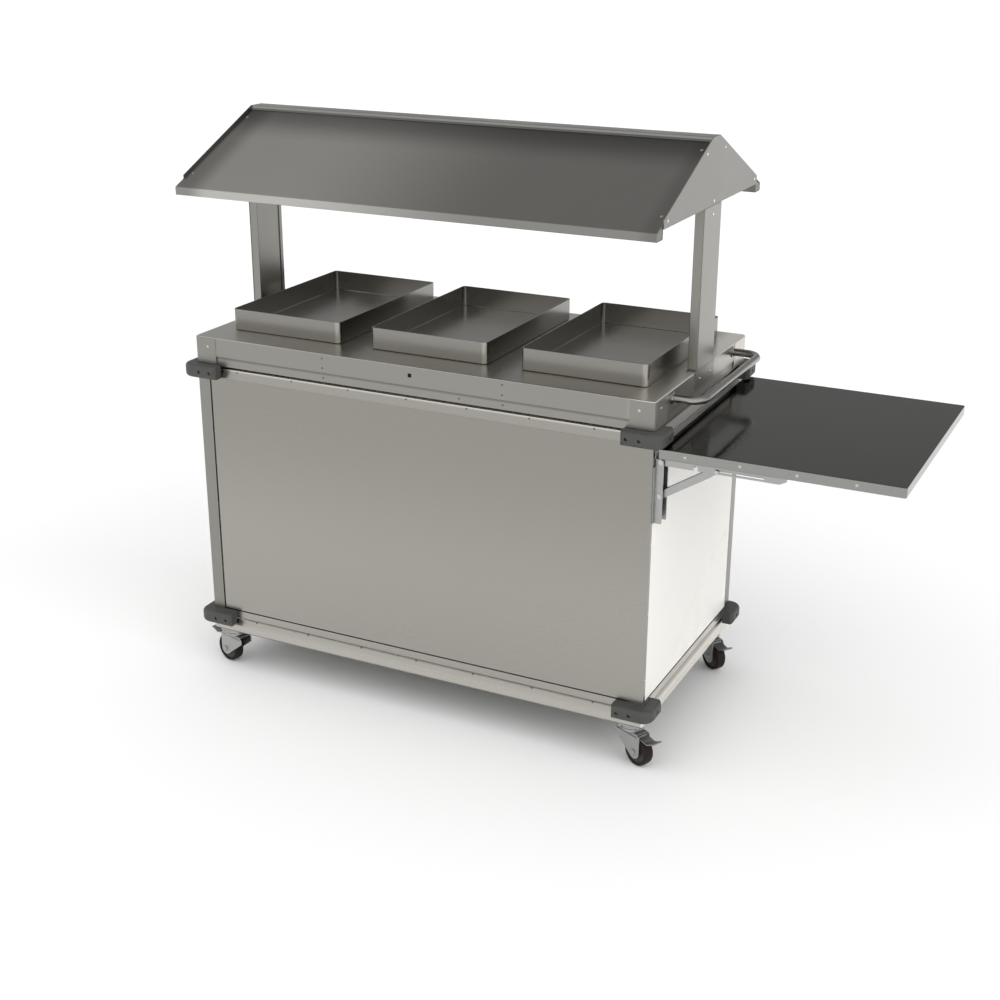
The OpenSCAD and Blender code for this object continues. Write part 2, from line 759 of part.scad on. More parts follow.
// Round flanges at the handle's feet
module handle_flanges() {
    color(steel) in_place() both_y() translate([counter_l / 2, handle_l / 2, handle_z])
        rotate([0, 90, 0]) cylinder(r = flange_r, h = flange_t);
}

// Folded end shelf with hems along its front and back edges
module end_shelf() {
    mid = (shelf_x0 + shelf_x1) / 2;
    hem_w = shelf_d / 2 - bracket_y + arm_half_w + sheet_t;
    color(steel) in_place() {
        difference() {
            translate([mid, 0, shelf_under]) linear_extrude(shelf_h) round_rect(shelf_l, shelf_d, shelf_r);
            translate([mid, 0, shelf_under - cut]) linear_extrude(shelf_h + cut - sheet_t)
                round_rect(shelf_l - 2 * sheet_t, shelf_d - 2 * sheet_t, shelf_r - sheet_t);
        }
        both_y() slab([shelf_x0 + shelf_r, -shelf_d / 2 + sheet_t / 2, shelf_under],
                      [shelf_x1 - shelf_r, hem_w - shelf_d / 2, shelf_under + sheet_t]);
    }
}

// Hat channel under the shelf's top
module shelf_stiffener() {
    half = frame_tube_w;
    z1 = shelf_top - sheet_t;
    color(steel) in_place() difference() {
        slab([shelf_x0 + sheet_t, -half, shelf_under + sheet_t], [shelf_x1 - sheet_t, half, z1]);
        slab([shelf_x0, sheet_t - half, shelf_under + 2 * sheet_t], [shelf_x1, half - sheet_t, z1 + cut]);
    }
}

// Channel legs of the folding brackets
module bracket_legs() {
    foot = pivot_z - leg_l;
    w = leg_w / 2;
    flange = w + leg_flange;
    color(zinc) in_place() both_y() translate([0, -bracket_y, 0]) difference() {
        union() {
            along_y(-w, w) {
                translate([hl, foot]) square([pivot_out + leg_head_r, leg_l]);
                translate([hl, foot]) square([leg_wall, leg_l + leg_head_r]);
                translate([pivot_x, pivot_z]) circle(leg_head_r);
            }
            slab([hl, -flange, foot], [hl + leg_wall, flange, pivot_z - leg_flange]);
        }
        slab([hl + leg_wall, leg_wall - w, foot - cut],
             [pivot_x + 2 * leg_head_r, w - leg_wall, shelf_under]);
        for (z = [pivot_z, strut_z]) pin_y(pivot_x, z, pin_r + run_gap, -leg_w, leg_w);
    }
}

// Pivot pins of the shelf and of the struts
module bracket_pins() {
    w = leg_w / 2;
    color(zinc) in_place() both_y() translate([0, -bracket_y, 0]) for (z = [pivot_z, strut_z]) {
        pin_y(pivot_x, z, pin_r, -w - pin_head_h, w + pin_head_h);
        pin_y(pivot_x, z, pin_head_r, -w - pin_head_h, -w);
        pin_y(pivot_x, z, pin_head_r, w, w + pin_head_h);
    }
}

// Slotted arms under the shelf, each with a notch that clears the strut's pivot when folded
module bracket_arms() {
    w = arm_half_w;
    foot = pivot_z - arm_below;
    end_x = pivot_x + arm_l;
    slot_r = strut_pin_r + free_gap;
    notch_r = pin_r + 2 * free_gap;
    color(zinc) in_place() both_y() translate([0, -bracket_y, 0]) difference() {
        along_y(-w, w) {
            polygon([[pivot_x, pivot_z], [pivot_x - arm_below, pivot_z], [pivot_x - arm_below, shelf_under],
                     [end_x, shelf_under], [end_x, pivot_z], [end_x - arm_end_cut, foot], [pivot_x, foot]]);
            translate([pivot_x, pivot_z]) circle(arm_below);
        }
        slab([hl, arm_wall - w, foot - cut], [end_x + cut, w - arm_wall, shelf_under - sheet_t]);
        pin_y(pivot_x, pivot_z, pin_r + run_gap, -leg_w, leg_w);
        along_y(-leg_w, leg_w) {
            translate([pivot_x + strut_reach, pivot_z - slot_r])
                square([folded_reach - strut_reach, 2 * slot_r]);
            for (x = [strut_reach, folded_reach]) translate([pivot_x + x, pivot_z]) circle(slot_r);
            translate([pivot_x + pivot_pitch, pivot_z]) circle(notch_r);
            translate([pivot_x + pivot_pitch - notch_r, foot - cut]) square([2 * notch_r, arm_below + cut]);
        }
    }
}

// Studs of the catches that hold the struts at the near ends of the slots
module catch_studs() {
    w = arm_half_w;
    color(zinc) in_place() both_y() translate([0, -bracket_y, 0]) for (y0 = [-w - pin_head_h, w])
        pin_y(pivot_x + strut_reach, pivot_z - stud_drop, stud_r, y0, y0 + pin_head_h);
}

// Strut of the front bracket, from its pivot on the leg up to its pin in the arm's slot
module strut(y) {
    h = strut_half_h;
    w = strut_half_w;
    color(zinc) in_place() translate([pivot_x, y, strut_z]) rotate([0, -strut_up, 0]) {
        difference() {
            along_y(-w, w) {
                polygon([[0, h], [strut_len - strut_taper, h], [strut_len, strut_end_r],
                         [strut_len, -strut_end_r], [strut_len - strut_taper, -h], [0, -h]]);
                circle(h);
                translate([strut_len, 0]) circle(strut_end_r);
            }
            along_y(strut_wall - w, w - strut_wall) polygon([[-2 * h, -2 * h], [-2 * h, h - strut_wall],
                [strut_len - strut_taper, h - strut_wall], [strut_len, strut_end_r - strut_wall],
                [strut_len + 2 * h, strut_end_r - strut_wall], [strut_len + 2 * h, -2 * h]]);
            pin_y(0, 0, pin_r + run_gap, -leg_w, leg_w);
        }
        pin_y(strut_len, 0, strut_pin_r, -w, w);
    }
}

module front_strut() { strut(-bracket_y); }
module rear_strut() { strut(bracket_y); }

// Knuckle heights of one hinge: two fixed ends and a moving middle
function knuckle(i) = [i * hinge_l / 3 + (i > 0 ? seam / 2 : 0),
                       (i + 1) * hinge_l / 3 - (i < 2 ? seam / 2 : 0)];
function hinge_feet() = [door_z0 + hinge_inset, door_z1 - hinge_inset - hinge_l];

// Fixed leaves with their knuckles and pins, on the rear corner posts
module fixed_hinge_leaves() {
    color(zinc) in_place() both_x() for (z = hinge_feet()) translate([hinge_x, 0, z]) {
        for (i = [0, 2]) translate([0, hinge_y, knuckle(i)[0]])
            cylinder(r = knuckle_r, h = knuckle(i)[1] - knuckle(i)[0]);
        translate([0, hinge_y, 0]) cylinder(r = hinge_pin_r, h = hinge_l);
        difference() {
            slab([0, hd, 0], [leaf_w, hd + leaf_t, hinge_l]);
            slab([-cut, hd - cut, knuckle(0)[1]], [knuckle_r + free_gap, hinge_y + cut, knuckle(2)[0]]);
        }
    }
}

// Rear door of the right half: a folded tray with inner hems, its outer face flush with the posts
module door() {
    x1 = door_x0 + door_w;
    t = sheet_t;
    difference() {
        slab([door_x0, hd - door_t, door_z0], [x1, hd, door_z1]);
        slab([door_x0 + t, hd - door_t + t, door_z0 + t], [x1 - t, hd - t, door_z1 - t]);
        slab([door_x0 + hem_h, hd - door_t - cut, door_z0 + hem_h], [x1 - hem_h, hd - t, door_z1 - hem_h]);
    }
}

module left_door() { color(steel) in_place() mirror([1, 0, 0]) door(); }
module right_door() { color(steel) in_place() door(); }

// Moving leaves of one door
module door_leaves() {
    for (z = hinge_feet()) translate([hinge_x, 0, z]) difference() {
        union() {
            translate([0, hinge_y, knuckle(1)[0]])
                cylinder(r = knuckle_r, h = knuckle(1)[1] - knuckle(1)[0]);
            difference() {
                slab([-leaf_w, hd, 0], [0, hd + leaf_t, hinge_l]);
                for (span = [[-cut, knuckle(1)[0]], [knuckle(1)[1], hinge_l + cut]])
                    slab([-knuckle_r - free_gap, hd - cut, span[0]], [cut, hinge_y + cut, span[1]]);
            }
        }
        translate([0, hinge_y, -cut]) cylinder(r = hinge_pin_r + run_gap, h = hinge_l + 2 * cut);
    }
}

module left_door_leaves() { color(zinc) in_place() mirror([1, 0, 0]) door_leaves(); }
module right_door_leaves() { color(zinc) in_place() door_leaves(); }

// Bar pull on one door, near the middle of the cabinet
module door_pull() {
    translate([door_x0 + pull_edge, hd, pull_z]) {
        for (z = [pull_r - pull_l, -pull_r]) translate([0, 0, z]) rotate([-90, 0, 0]) {
            cylinder(r = pull_r, h = pull_out);
            cylinder(r = pull_r * 1.6, h = sheet_t);
        }
        translate([0, pull_out, -pull_l]) cylinder(r = pull_r, h = pull_l);
    }
}

module left_door_pull() { color(zinc) in_place() mirror([1, 0, 0]) door_pull(); }
module right_door_pull() { color(zinc) in_place() door_pull(); }

// Square top plates with the fixed half of the swivel race and the kingpin
module caster_plates() {
    color(zinc) in_place() for (x = [-1, 1], y = [-1, 1]) translate([x * swivel_x, y * swivel_y, 0]) {
        translate([-plate_s / 2, -plate_s / 2, plate_z]) cube([plate_s, plate_s, plate_t]);
        for (hx = [-1, 1], hy = [-1, 1])
            translate([hx * plate_bolt_in, hy * plate_bolt_in, plate_z - plate_t])
                cylinder(r = plate_bolt_r, h = plate_t, $fn = 6);
        translate([0, 0, race_split + race_gap]) cylinder(r = race_r, h = plate_z - race_split - race_gap);
        translate([0, 0, fork_top - leg_plate_t - race_gap - kingpin_head_h / 2])
            cylinder(r = kingpin_r, h = plate_z - fork_top + leg_plate_t + kingpin_head_h / 2 + race_gap);
        translate([0, 0, fork_top - leg_plate_t - race_gap - kingpin_head_h])
            cylinder(r = kingpin_head_r, h = kingpin_head_h);
    }
}

// Places a caster piece: 0 front left, 1 front right, 2 rear left, 3 rear right; the wheel trails along +X
module at_caster(i) {
    in_place() translate([(i % 2 == 0 ? -1 : 1) * swivel_x, (i < 2 ? -1 : 1) * swivel_y, 0])
        rotate([0, 0, caster_turns[i]]) children();
}

// Pressed fork with its axle bolt
module fork(i) {
    head_h = 4;
    toe_r = crown_half - trail;
    out = fork_half_w;
    shoulder_z = fork_top - crown_half * 0.45;
    reach = trail + crown_half;
    lean = atan2(shoulder_z - wheel_r, reach) + asin(toe_r / norm([reach, shoulder_z - wheel_r]));
    color(zinc) at_caster(i) {
        difference() {
            union() {
                along_y(-out, out) difference() {
                    union() {
                        polygon([[-crown_half, fork_top], [crown_half, fork_top], [crown_half, wheel_r],
                                 [trail, wheel_r],
                                 [trail - toe_r * sin(lean), wheel_r - toe_r * cos(lean)],
                                 [-crown_half, shoulder_z]]);
                        translate([trail, wheel_r]) circle(toe_r);
                    }
                    translate([trail, wheel_r]) circle(axle_r + run_gap);
                    translate([pedal_x, pedal_z]) circle(pedal_pin_r + run_gap);
                }
                translate([0, 0, fork_top]) cylinder(r = race_r, h = race_split - fork_top);
            }
            slab([-crown_half - cut, leg_plate_t - out, -cut],
                 [crown_half + cut, out - leg_plate_t, fork_top - leg_plate_t]);
            translate([0, 0, wheel_r]) cylinder(r = kingpin_r + run_gap, h = fork_top);
        }
        pin_y(trail, wheel_r, axle_r, -out, out);
        for (y = [-out - head_h, out]) translate([trail, y + head_h, wheel_r]) rotate([90, 0, 0])
            cylinder(r = axle_r * 1.8, h = head_h, $fn = 6);
    }
}

module front_left_fork() { fork(0); }
module front_right_fork() { fork(1); }
module rear_left_fork() { fork(2); }
module rear_right_fork() { fork(3); }

// Wheel with a crowned tread, dished sides and a plain hub
module wheel(i) {
    w = wheel_w / 2;
    edge = 4;
    dish = 3;
    hub_r = axle_r * 3;
    rim_r = wheel_r * 0.78;
    hub_half = fork_half_w - leg_plate_t - free_gap;
    bore_r = axle_r + run_gap;
    color(tread) at_caster(i) translate([trail, 0, wheel_r]) rotate([90, 0, 0]) rotate_extrude() {
        difference() {
            union() {
                translate([bore_r, -w]) square([wheel_r - edge - bore_r, wheel_w]);
                translate([bore_r, edge - w]) square([wheel_r - bore_r, wheel_w - 2 * edge]);
                for (y = [edge - w, w - edge]) translate([wheel_r - edge, y]) circle(edge);
            }
            for (y = [-w - cut, w - dish]) translate([hub_r, y]) square([rim_r - hub_r, dish + cut]);
        }
        translate([bore_r, -hub_half]) square([(hub_r - bore_r) * 0.8, 2 * hub_half]);
    }
}

module front_left_wheel() { wheel(0); }
module front_right_wheel() { wheel(1); }
module rear_left_wheel() { wheel(2); }
module rear_right_wheel() { wheel(3); }

// Rocking brake pedal over the wheel's trailing side, with its pin through the fork
module brake(i) {
    w = pedal_half_w;
    t = pedal_t;
    half = [0, t / 2];
    bend = [pedal_l * cos(pedal_tilt), -pedal_l * sin(pedal_tilt)];
    toe = bend + [pedal_toe_l * cos(pedal_toe_tilt), pedal_toe_l * sin(pedal_toe_tilt)];
    color(dark_steel) at_caster(i) translate([pedal_x, 0, pedal_z]) {
        pin_y(0, 0, pedal_pin_r, -fork_half_w, fork_half_w);
        pin_y(0, 0, pedal_pin_r + t / 2, -w, w);
        along_y(-w, w) {
            polygon([half, bend + half, toe + half, toe - half, bend - half, -half]);
            translate(toe) circle(pedal_end_r);
        }
    }
}

module front_left_brake() { brake(0); }
module front_right_brake() { brake(1); }
module rear_left_brake() { brake(2); }
module rear_right_brake() { brake(3); }

base_frame();
cabinet_floor();
base_rail();
corner_posts();
front_panel();
left_end_panel();
right_end_panel();
upper_rail();
middle_shelf();
shelf_rests();
counter_stiffeners();
countertop();
corner_caps();
fascia_band();
panel_fasteners();
upper_bumpers();
lower_bumpers();
bumper_screws();
left_canopy_post();
right_canopy_post();
left_gable();
right_gable();
roof_sheet();
ridge_cap();
canopy_rivets();
push_handle();
handle_flanges();
bracket_legs();
bracket_pins();
end_shelf();
shelf_stiffener();
bracket_arms();
catch_studs();
front_strut();
rear_strut();
left_pan();
middle_pan();
right_pan();
fixed_hinge_leaves();
left_door();
right_door();
left_door_leaves();
right_door_leaves();
left_door_pull();
right_door_pull();
caster_plates();
front_left_fork();
front_right_fork();
rear_left_fork();
rear_right_fork();
front_left_wheel();
front_right_wheel();
rear_left_wheel();
rear_right_wheel();
front_left_brake();
front_right_brake();
rear_left_brake();
rear_right_brake();
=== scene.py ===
import bpy
import bmesh
import json
import math
import numpy as np
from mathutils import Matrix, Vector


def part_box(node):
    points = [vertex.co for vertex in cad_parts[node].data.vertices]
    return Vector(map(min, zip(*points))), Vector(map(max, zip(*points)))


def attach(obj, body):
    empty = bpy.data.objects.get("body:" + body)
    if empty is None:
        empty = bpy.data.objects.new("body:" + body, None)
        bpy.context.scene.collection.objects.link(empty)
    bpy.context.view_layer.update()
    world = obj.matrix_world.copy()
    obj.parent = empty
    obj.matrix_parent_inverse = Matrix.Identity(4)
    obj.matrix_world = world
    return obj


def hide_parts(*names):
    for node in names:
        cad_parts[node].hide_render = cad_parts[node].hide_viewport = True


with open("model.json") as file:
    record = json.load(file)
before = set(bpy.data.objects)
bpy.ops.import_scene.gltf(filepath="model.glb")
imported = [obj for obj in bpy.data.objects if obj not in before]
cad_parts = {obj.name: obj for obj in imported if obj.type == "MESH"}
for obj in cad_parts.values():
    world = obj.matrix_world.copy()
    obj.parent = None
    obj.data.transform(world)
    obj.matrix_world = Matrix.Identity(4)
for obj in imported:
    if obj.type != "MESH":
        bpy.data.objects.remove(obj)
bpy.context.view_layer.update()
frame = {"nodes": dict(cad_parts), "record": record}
nodes = frame["nodes"]
midX = float(np.mean(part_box("countertop"), 0)[0])

# Shapes are measured from the counter's middle. A part is (points, list of face arrays)
# "corners" are signs in x and y, the front right one first
corners = ((1, -1), (1, 1), (-1, 1), (-1, -1))


def roundPath(points, radius, steps=5, closed=False):
    # Every inner corner of the line becomes an arc that touches both its sides
    p = np.asarray(points, float)
    a, b = np.roll(p, 1, 0) - p, np.roll(p, -1, 0) - p
    la, lb = np.linalg.norm(a, axis=1), np.linalg.norm(b, axis=1)
    ua, ub = a / la[:, None], b / lb[:, None]
    half = np.clip(np.arccos(np.clip((ua * ub).sum(1), -1, 1)) / 2, 0.01, math.pi / 2 - 0.001)
    reach = np.minimum(np.asarray(radius) / np.tan(half), 0.49 * np.minimum(la, lb))
    toCentre = ua + ub
    toCentre /= np.maximum(np.linalg.norm(toCentre, axis=1), 1e-9)[:, None]
    centre = p + toCentre * (reach / np.cos(half))[:, None]
    start, end = p + ua * reach[:, None] - centre, p + ub * reach[:, None] - centre
    side = np.sign(start[:, 0] * end[:, 1] - start[:, 1] * end[:, 0])
    turn = ((math.pi - 2 * half) * side)[:, None] * np.linspace(0, 1, steps + 1)
    c, s = np.cos(turn), np.sin(turn)
    arcs = np.stack([start[:, :1] * c - start[:, 1:] * s, start[:, :1] * s + start[:, 1:] * c], -1)
    arcs += centre[:, None]
    if closed:
        return arcs.reshape(-1, 2)
    return np.concatenate([p[:1], arcs[1:-1].reshape(-1, 2), p[-1:]])


def oblong(a0, b0, a1, b1):
    # Corners of a rectangle, in order round it
    return np.array([(a0, b0), (a1, b0), (a1, b1), (a0, b1)])


def arc(a, b, radius, start, end, steps=8):
    # Points of an arc, from one angle in degrees to the other
    t = np.radians(np.linspace(start, end, steps + 1))
    return np.stack([a + radius * np.cos(t), b + radius * np.sin(t)], -1)


def sheetLoop(path, thickness):
    # Closed outline of a sheet: the line, and the same line set to its left by the thickness
    step = np.diff(path, axis=0)
    step = step / np.linalg.norm(step, axis=1)[:, None]
    before, after = np.vstack([step[:1], step]), np.vstack([step, step[-1:]])
    way = before + after
    way /= np.linalg.norm(way, axis=1)[:, None]
    reach = thickness / np.maximum((way * after).sum(1), 0.3)
    left = np.stack([-way[:, 1], way[:, 0]], -1) * reach[:, None]
    return np.concatenate([path, (path + left)[::-1]])


def facing(axis, x=0, y=0, z=0, way=1):
    # Places a flat shape (a, b) with depth d at a point: d along the named axis, a and b along the others
    def place(a, b, d):
        row = [a, b]
        row.insert("xyz".index(axis), way * d)
        return np.stack(np.broadcast_arrays(*row), -1) + (x, y, z)
    return place


alongX, alongY, alongZ = facing("x"), facing("y"), facing("z")


def gridPart(points, closeU=False, closeV=False, capStart=False, capEnd=False):
    # A grid of points becomes quads, and its first and last loops are filled where asked
    m, n = points.shape[:2]
    u, v = np.meshgrid(np.arange(m if closeU else m - 1), np.arange(n if closeV else n - 1), indexing="ij")
    u2, v2 = (u + 1) % m, (v + 1) % n
    faces = [np.stack([u * n + v, u * n + v2, u2 * n + v2, u2 * n + v], -1).reshape(-1, 4)]
    if capStart:
        faces.append(np.arange(n)[None, ::-1])
    if capEnd:
        faces.append(np.arange((m - 1) * n, m * n)[None])
    return points.reshape(-1, 3), faces


def extrude(loop, low, high, place):
    # An outline carried from low to high
    ends = np.stack([place(loop[:, 0], loop[:, 1], np.full(len(loop), v)) for v in (low, high)])
    return gridPart(ends, closeV=True, capStart=True, capEnd=True)


def bentSheet(points, bend, thickness, low, high, place, steps=5):
    # A sheet bent along a line, carried from low to high
    return extrude(sheetLoop(roundPath(points, bend, steps), thickness), low, high, place)


def twoWalls(loop, middle, half, thickness, place=alongY):
    # Two sheets of one outline, which face each other
    return [extrude(loop, middle + s * half, middle + s * (half - thickness), place) for s in (-1, 1)]


def barLine(foot, out, low, high, bend, steps):
    return roundPath([(foot, low), (out, low), (out, high), (foot, high)], bend, steps)


def roundPlate(a0, b0, a1, b1, corner, steps, low, high, place):
    return extrude(roundPath(oblong(a0, b0, a1, b1), corner, steps, True), low, high, place)


def loops(halfA, halfB, corner, profile, place, steps=6, ring=False, seams=None):
    # Round-cornered rectangles inside one another: each (inset, level) of the profile gives one. Seams are
    # (along A, along B, half width, depth, edge): each straight side dips in a narrow V at two places
    inset, level = np.asarray(profile, float).T
    inset = inset[:, None, None]
    r = np.maximum(corner - inset, 0.00005)
    angle = np.radians(np.arange(4)[:, None] * 90 + np.linspace(0, 90, steps + 1))
    signA, signB = np.array([1, -1, -1, 1])[:, None], np.array([1, 1, -1, -1])[:, None]
    a = signA * (halfA - inset - r) + r * np.cos(angle)
    b = signB * (halfB - inset - r) + r * np.sin(angle)
    if seams:
        seamA, seamB, width, depth, edge = seams
        out = np.array([(0, 1), (-1, 0), (0, -1), (1, 0)])
        way = np.roll(out, -1, 0)
        s = np.array([seamA, seamB] * 2)[:, None] * (-1, -1, -1, 1, 1, 1) + np.array((-1, 0, 1) * 2) * width
        dip = np.array((0, 1, 0) * 2) * depth * (inset < edge)
        face = np.array([halfB, halfA] * 2)[:, None] - inset - dip
        a = np.concatenate([a, out[:, :1] * face + way[:, :1] * s], -1)
        b = np.concatenate([b, out[:, 1:] * face + way[:, 1:] * s], -1)
    d = np.broadcast_to(level[:, None, None], a.shape)
    grid = place(*[w.reshape(len(level), -1) for w in (a, b, d)])
    return gridPart(grid, closeU=ring, closeV=True, capStart=not ring, capEnd=not ring)


def revolve(profile, place, steps=40, ring=False):
    # A (radius, height) line turned about its axis; a closed line gives a ring
    r, h = np.asarray(profile, float).T[:, :, None]
    t = np.linspace(0, 2 * math.pi, steps, endpoint=False)
    grid = place(r * np.cos(t), r * np.sin(t), h + 0 * t)
    return gridPart(grid, closeU=ring, closeV=True, capStart=not ring, capEnd=not ring)


def tube(path, radius, normal, sides=20):
    # A circle carried along a flat path whose plane has the given normal
    way = np.gradient(path, axis=0)
    way /= np.linalg.norm(way, axis=1)[:, None]
    across = np.cross(way, normal)
    t = np.linspace(0, 2 * math.pi, sides, endpoint=False)[None, :, None]
    ring = across[:, None] * np.cos(t) + np.asarray(normal, float) * np.sin(t)
    return gridPart(path[:, None] + ring * radius, closeV=True, capStart=True, capEnd=True)


domeLook = {"rim": 0.32, "rise": 0.68, "spread": 0.95, "dentHalf": 0.3, "sunk": -0.0004, "steps": 20,
    "shares": (1, 0.98, 0.9, 0.78, 0.6, 0.42, 0.2, 0.03), "sharp": 50}


def dome(axis, radius, middle, way=1, dent=0.0, height=0.0012):
    # A low head. With s its distance from the middle as a share of the radius, it stands out by
    # height (rim + rise sqrt(1 - (spread s)^2)) - dent e^-(s / dentHalf)^4
    k = domeLook
    share = np.array(k["shares"])
    lift = height * (k["rim"] + k["rise"] * np.sqrt(1 - (k["spread"] * share) ** 2))
    lift = lift - dent * np.exp(-(share / k["dentHalf"]) ** 4)
    profile = np.concatenate([[(radius, k["sunk"])], np.stack([radius * share, lift], -1)])
    return revolve(profile, facing(axis, *middle, way), k["steps"])


def moved(part, matrix):
    # A part turned and shifted by a 3 by 4 matrix
    m = np.asarray(matrix, float)
    return part[0] @ m[:, :3].T + m[:, 3], part[1]


def standing(x, y, angle=0):
    # Turns about Z by an angle in degrees, then shifts along the floor
    c, s = math.cos(math.radians(angle)), math.sin(math.radians(angle))
    return [[c, -s, 0, x], [s, c, 0, y], [0, 0, 1, 0]]


def mirrored(parts, signX=1, signY=1):
    return [(points * (signX, signY, 1), faces) for points, faces in parts]


meshLook = {"merge": 2e-6, "sharp": 35, "bevelSteps": 2}


def piece(name, parts, look, replaces=(), body="cart", sharp=meshLook["sharp"], edge=0.0):
    # One object from closed parts: doubles merged, faces turned outwards, folds kept crisp
    starts = np.cumsum([0] + [len(p) for p, f in parts])
    faces = [row for (p, f), s in zip(parts, starts) for block in f for row in (block + s).tolist()]
    mesh = bpy.data.meshes.new(name)
    mesh.from_pydata(np.concatenate([p for p, f in parts]) + (midX, 0, 0), [], faces)
    bm = bmesh.new()
    bm.from_mesh(mesh)
    bmesh.ops.remove_doubles(bm, verts=bm.verts, dist=meshLook["merge"])
    bmesh.ops.recalc_face_normals(bm, faces=bm.faces)
    bm.to_mesh(mesh)
    bm.free()
    mesh.polygons.foreach_set("use_smooth", np.ones(len(mesh.polygons), bool))
    mesh.set_sharp_from_angle(angle=math.radians(sharp))
    mesh.materials.append(finish[look])
    obj = bpy.data.objects.new(name, mesh)
    bpy.context.scene.collection.objects.link(obj)
    if edge:
        soft = obj.modifiers.new("softEdges", "BEVEL")
        soft.width, soft.segments, soft.angle_limit = edge, meshLook["bevelSteps"], math.radians(sharp)
    keep = obj.modifiers.new("flatFaces", "WEIGHTED_NORMAL")
    keep.keep_sharp = True
    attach(obj, body)
    if replaces:
        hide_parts(*replaces)


def headPiece(name, parts, look, replaces=(), body="cart"):
    # Rivet and screw heads, whose low domes stay smooth
    piece(name, parts, look, replaces, body, domeLook["sharp"])


print("stage: the frame is loaded")

cameraLook = {"place": (1.70476, -3.30675, 1.91554), "turn": 26.24, "down": 21.21, "roll": -0.22,
    "lens": 55.27, "sensor": 36}
cam = bpy.data.cameras.new("camera")
cam.lens, cam.sensor_width = cameraLook["lens"], cameraLook["sensor"]
camObj = bpy.data.objects.new("camera", cam)
bpy.context.scene.collection.objects.link(camObj)
bpy.context.scene.camera = camObj
camObj.location = np.add(cameraLook["place"], (midX, 0, 0))
camObj.rotation_euler = np.radians((90 - cameraLook["down"], cameraLook["roll"], cameraLook["turn"]))

# Sky levels by height, 0 at the horizon and 1 overhead: open studio in front, a dim wall behind the cart.
# Each sun is (strength, apparent size, tilt from overhead, turn), angles in degrees
studioLook = {"floorHalf": 40, "floorColor": 0.92, "turnover": (-0.15, 0.45),
    "suns": {"overhead": (1.3, 100, 10, 30), "sideSoft": (0.75, 60, 62, 75)},
    "frontSky": ((0.0, 1.0), (0.3, 1.1), (0.75, 0.85), (1.0, 0.42)),
    "rearSky": ((0.0, 1.0), (0.13, 0.96), (0.2, 0.3), (0.45, 0.36), (0.8, 0.46), (1.0, 0.42))}


def nodeTree(owner):
    owner.use_nodes = True
    owner.node_tree.nodes.clear()
    return owner.node_tree


def addNodes(tree, *kinds):
    return [tree.nodes.new("ShaderNode" + kind) for kind in kinds]


def wire(tree, *rows):
    # Each row is (node, its output, next node, its input)
    for source, output, target, socket in rows:
        tree.links.new(source.outputs[output], target.inputs[socket])


def makeFloor():
    h = studioLook["floorHalf"]
    mesh = bpy.data.meshes.new("floor")
    mesh.from_pydata([(-h, -h, 0), (h, -h, 0), (h, h, 0), (-h, h, 0)], [], [(0, 1, 2, 3)])
    obj = bpy.data.objects.new("floor", mesh)
    bpy.context.scene.collection.objects.link(obj)
    mat = bpy.data.materials.new("paleFloor")
    tree = nodeTree(mat)
    out, shader = addNodes(tree, "OutputMaterial", "BsdfDiffuse")
    shader.inputs["Color"].default_value = (studioLook["floorColor"],) * 3 + (1,)
    wire(tree, (shader, 0, out, 0))
    mesh.materials.append(mat)


def span(node, ends, values):
    node.inputs[ends + " Min"].default_value, node.inputs[ends + " Max"].default_value = values


def skyRamp(tree, stops):
    ramp, = addNodes(tree, "ValToRGB")
    ends = ramp.color_ramp.elements
    ends[0].position, ends[1].position = stops[0][0], stops[-1][0]
    ends[0].color, ends[1].color = (stops[0][1],) * 3 + (1,), (stops[-1][1],) * 3 + (1,)
    for where, level in stops[1:-1]:
        ends.new(where).color = (level,) * 3 + (1,)
    return ramp


def makeWorld():
    # The two skies, mixed by how far a direction points to the front
    world = bpy.data.worlds.new("studio")
    bpy.context.scene.world = world
    tree = nodeTree(world)
    coord, split, side = addNodes(tree, "TexCoord", "SeparateXYZ", "MapRange")
    both, back, out = addNodes(tree, "Mix", "Background", "OutputWorld")
    front, rear = skyRamp(tree, studioLook["frontSky"]), skyRamp(tree, studioLook["rearSky"])
    both.data_type = "RGBA"
    side.interpolation_type = "SMOOTHSTEP"
    span(side, "From", studioLook["turnover"])
    wire(tree, (coord, "Generated", split, 0), (split, "Z", front, 0), (split, "Z", rear, 0),
         (split, "Y", side, "Value"), (side, 0, both, 0), (front, 0, both, 6), (rear, 0, both, 7),
         (both, 2, back, "Color"), (back, 0, out, 0))


def makeSun(name, strength, angle, tilt, turn):
    # A wide soft sun, which the metal doesn't mirror
    lamp = bpy.data.lights.new(name, "SUN")
    lamp.energy, lamp.angle = strength, math.radians(angle)
    obj = bpy.data.objects.new(name, lamp)
    obj.rotation_euler = (math.radians(tilt), 0, math.radians(turn))
    obj.visible_glossy = False
    bpy.context.scene.collection.objects.link(obj)


makeFloor()
makeWorld()
for name, values in studioLook["suns"].items():
    makeSun(name, *values)
bpy.context.scene.view_settings.view_transform = "Standard"
print("stage: camera, floor and light are made")

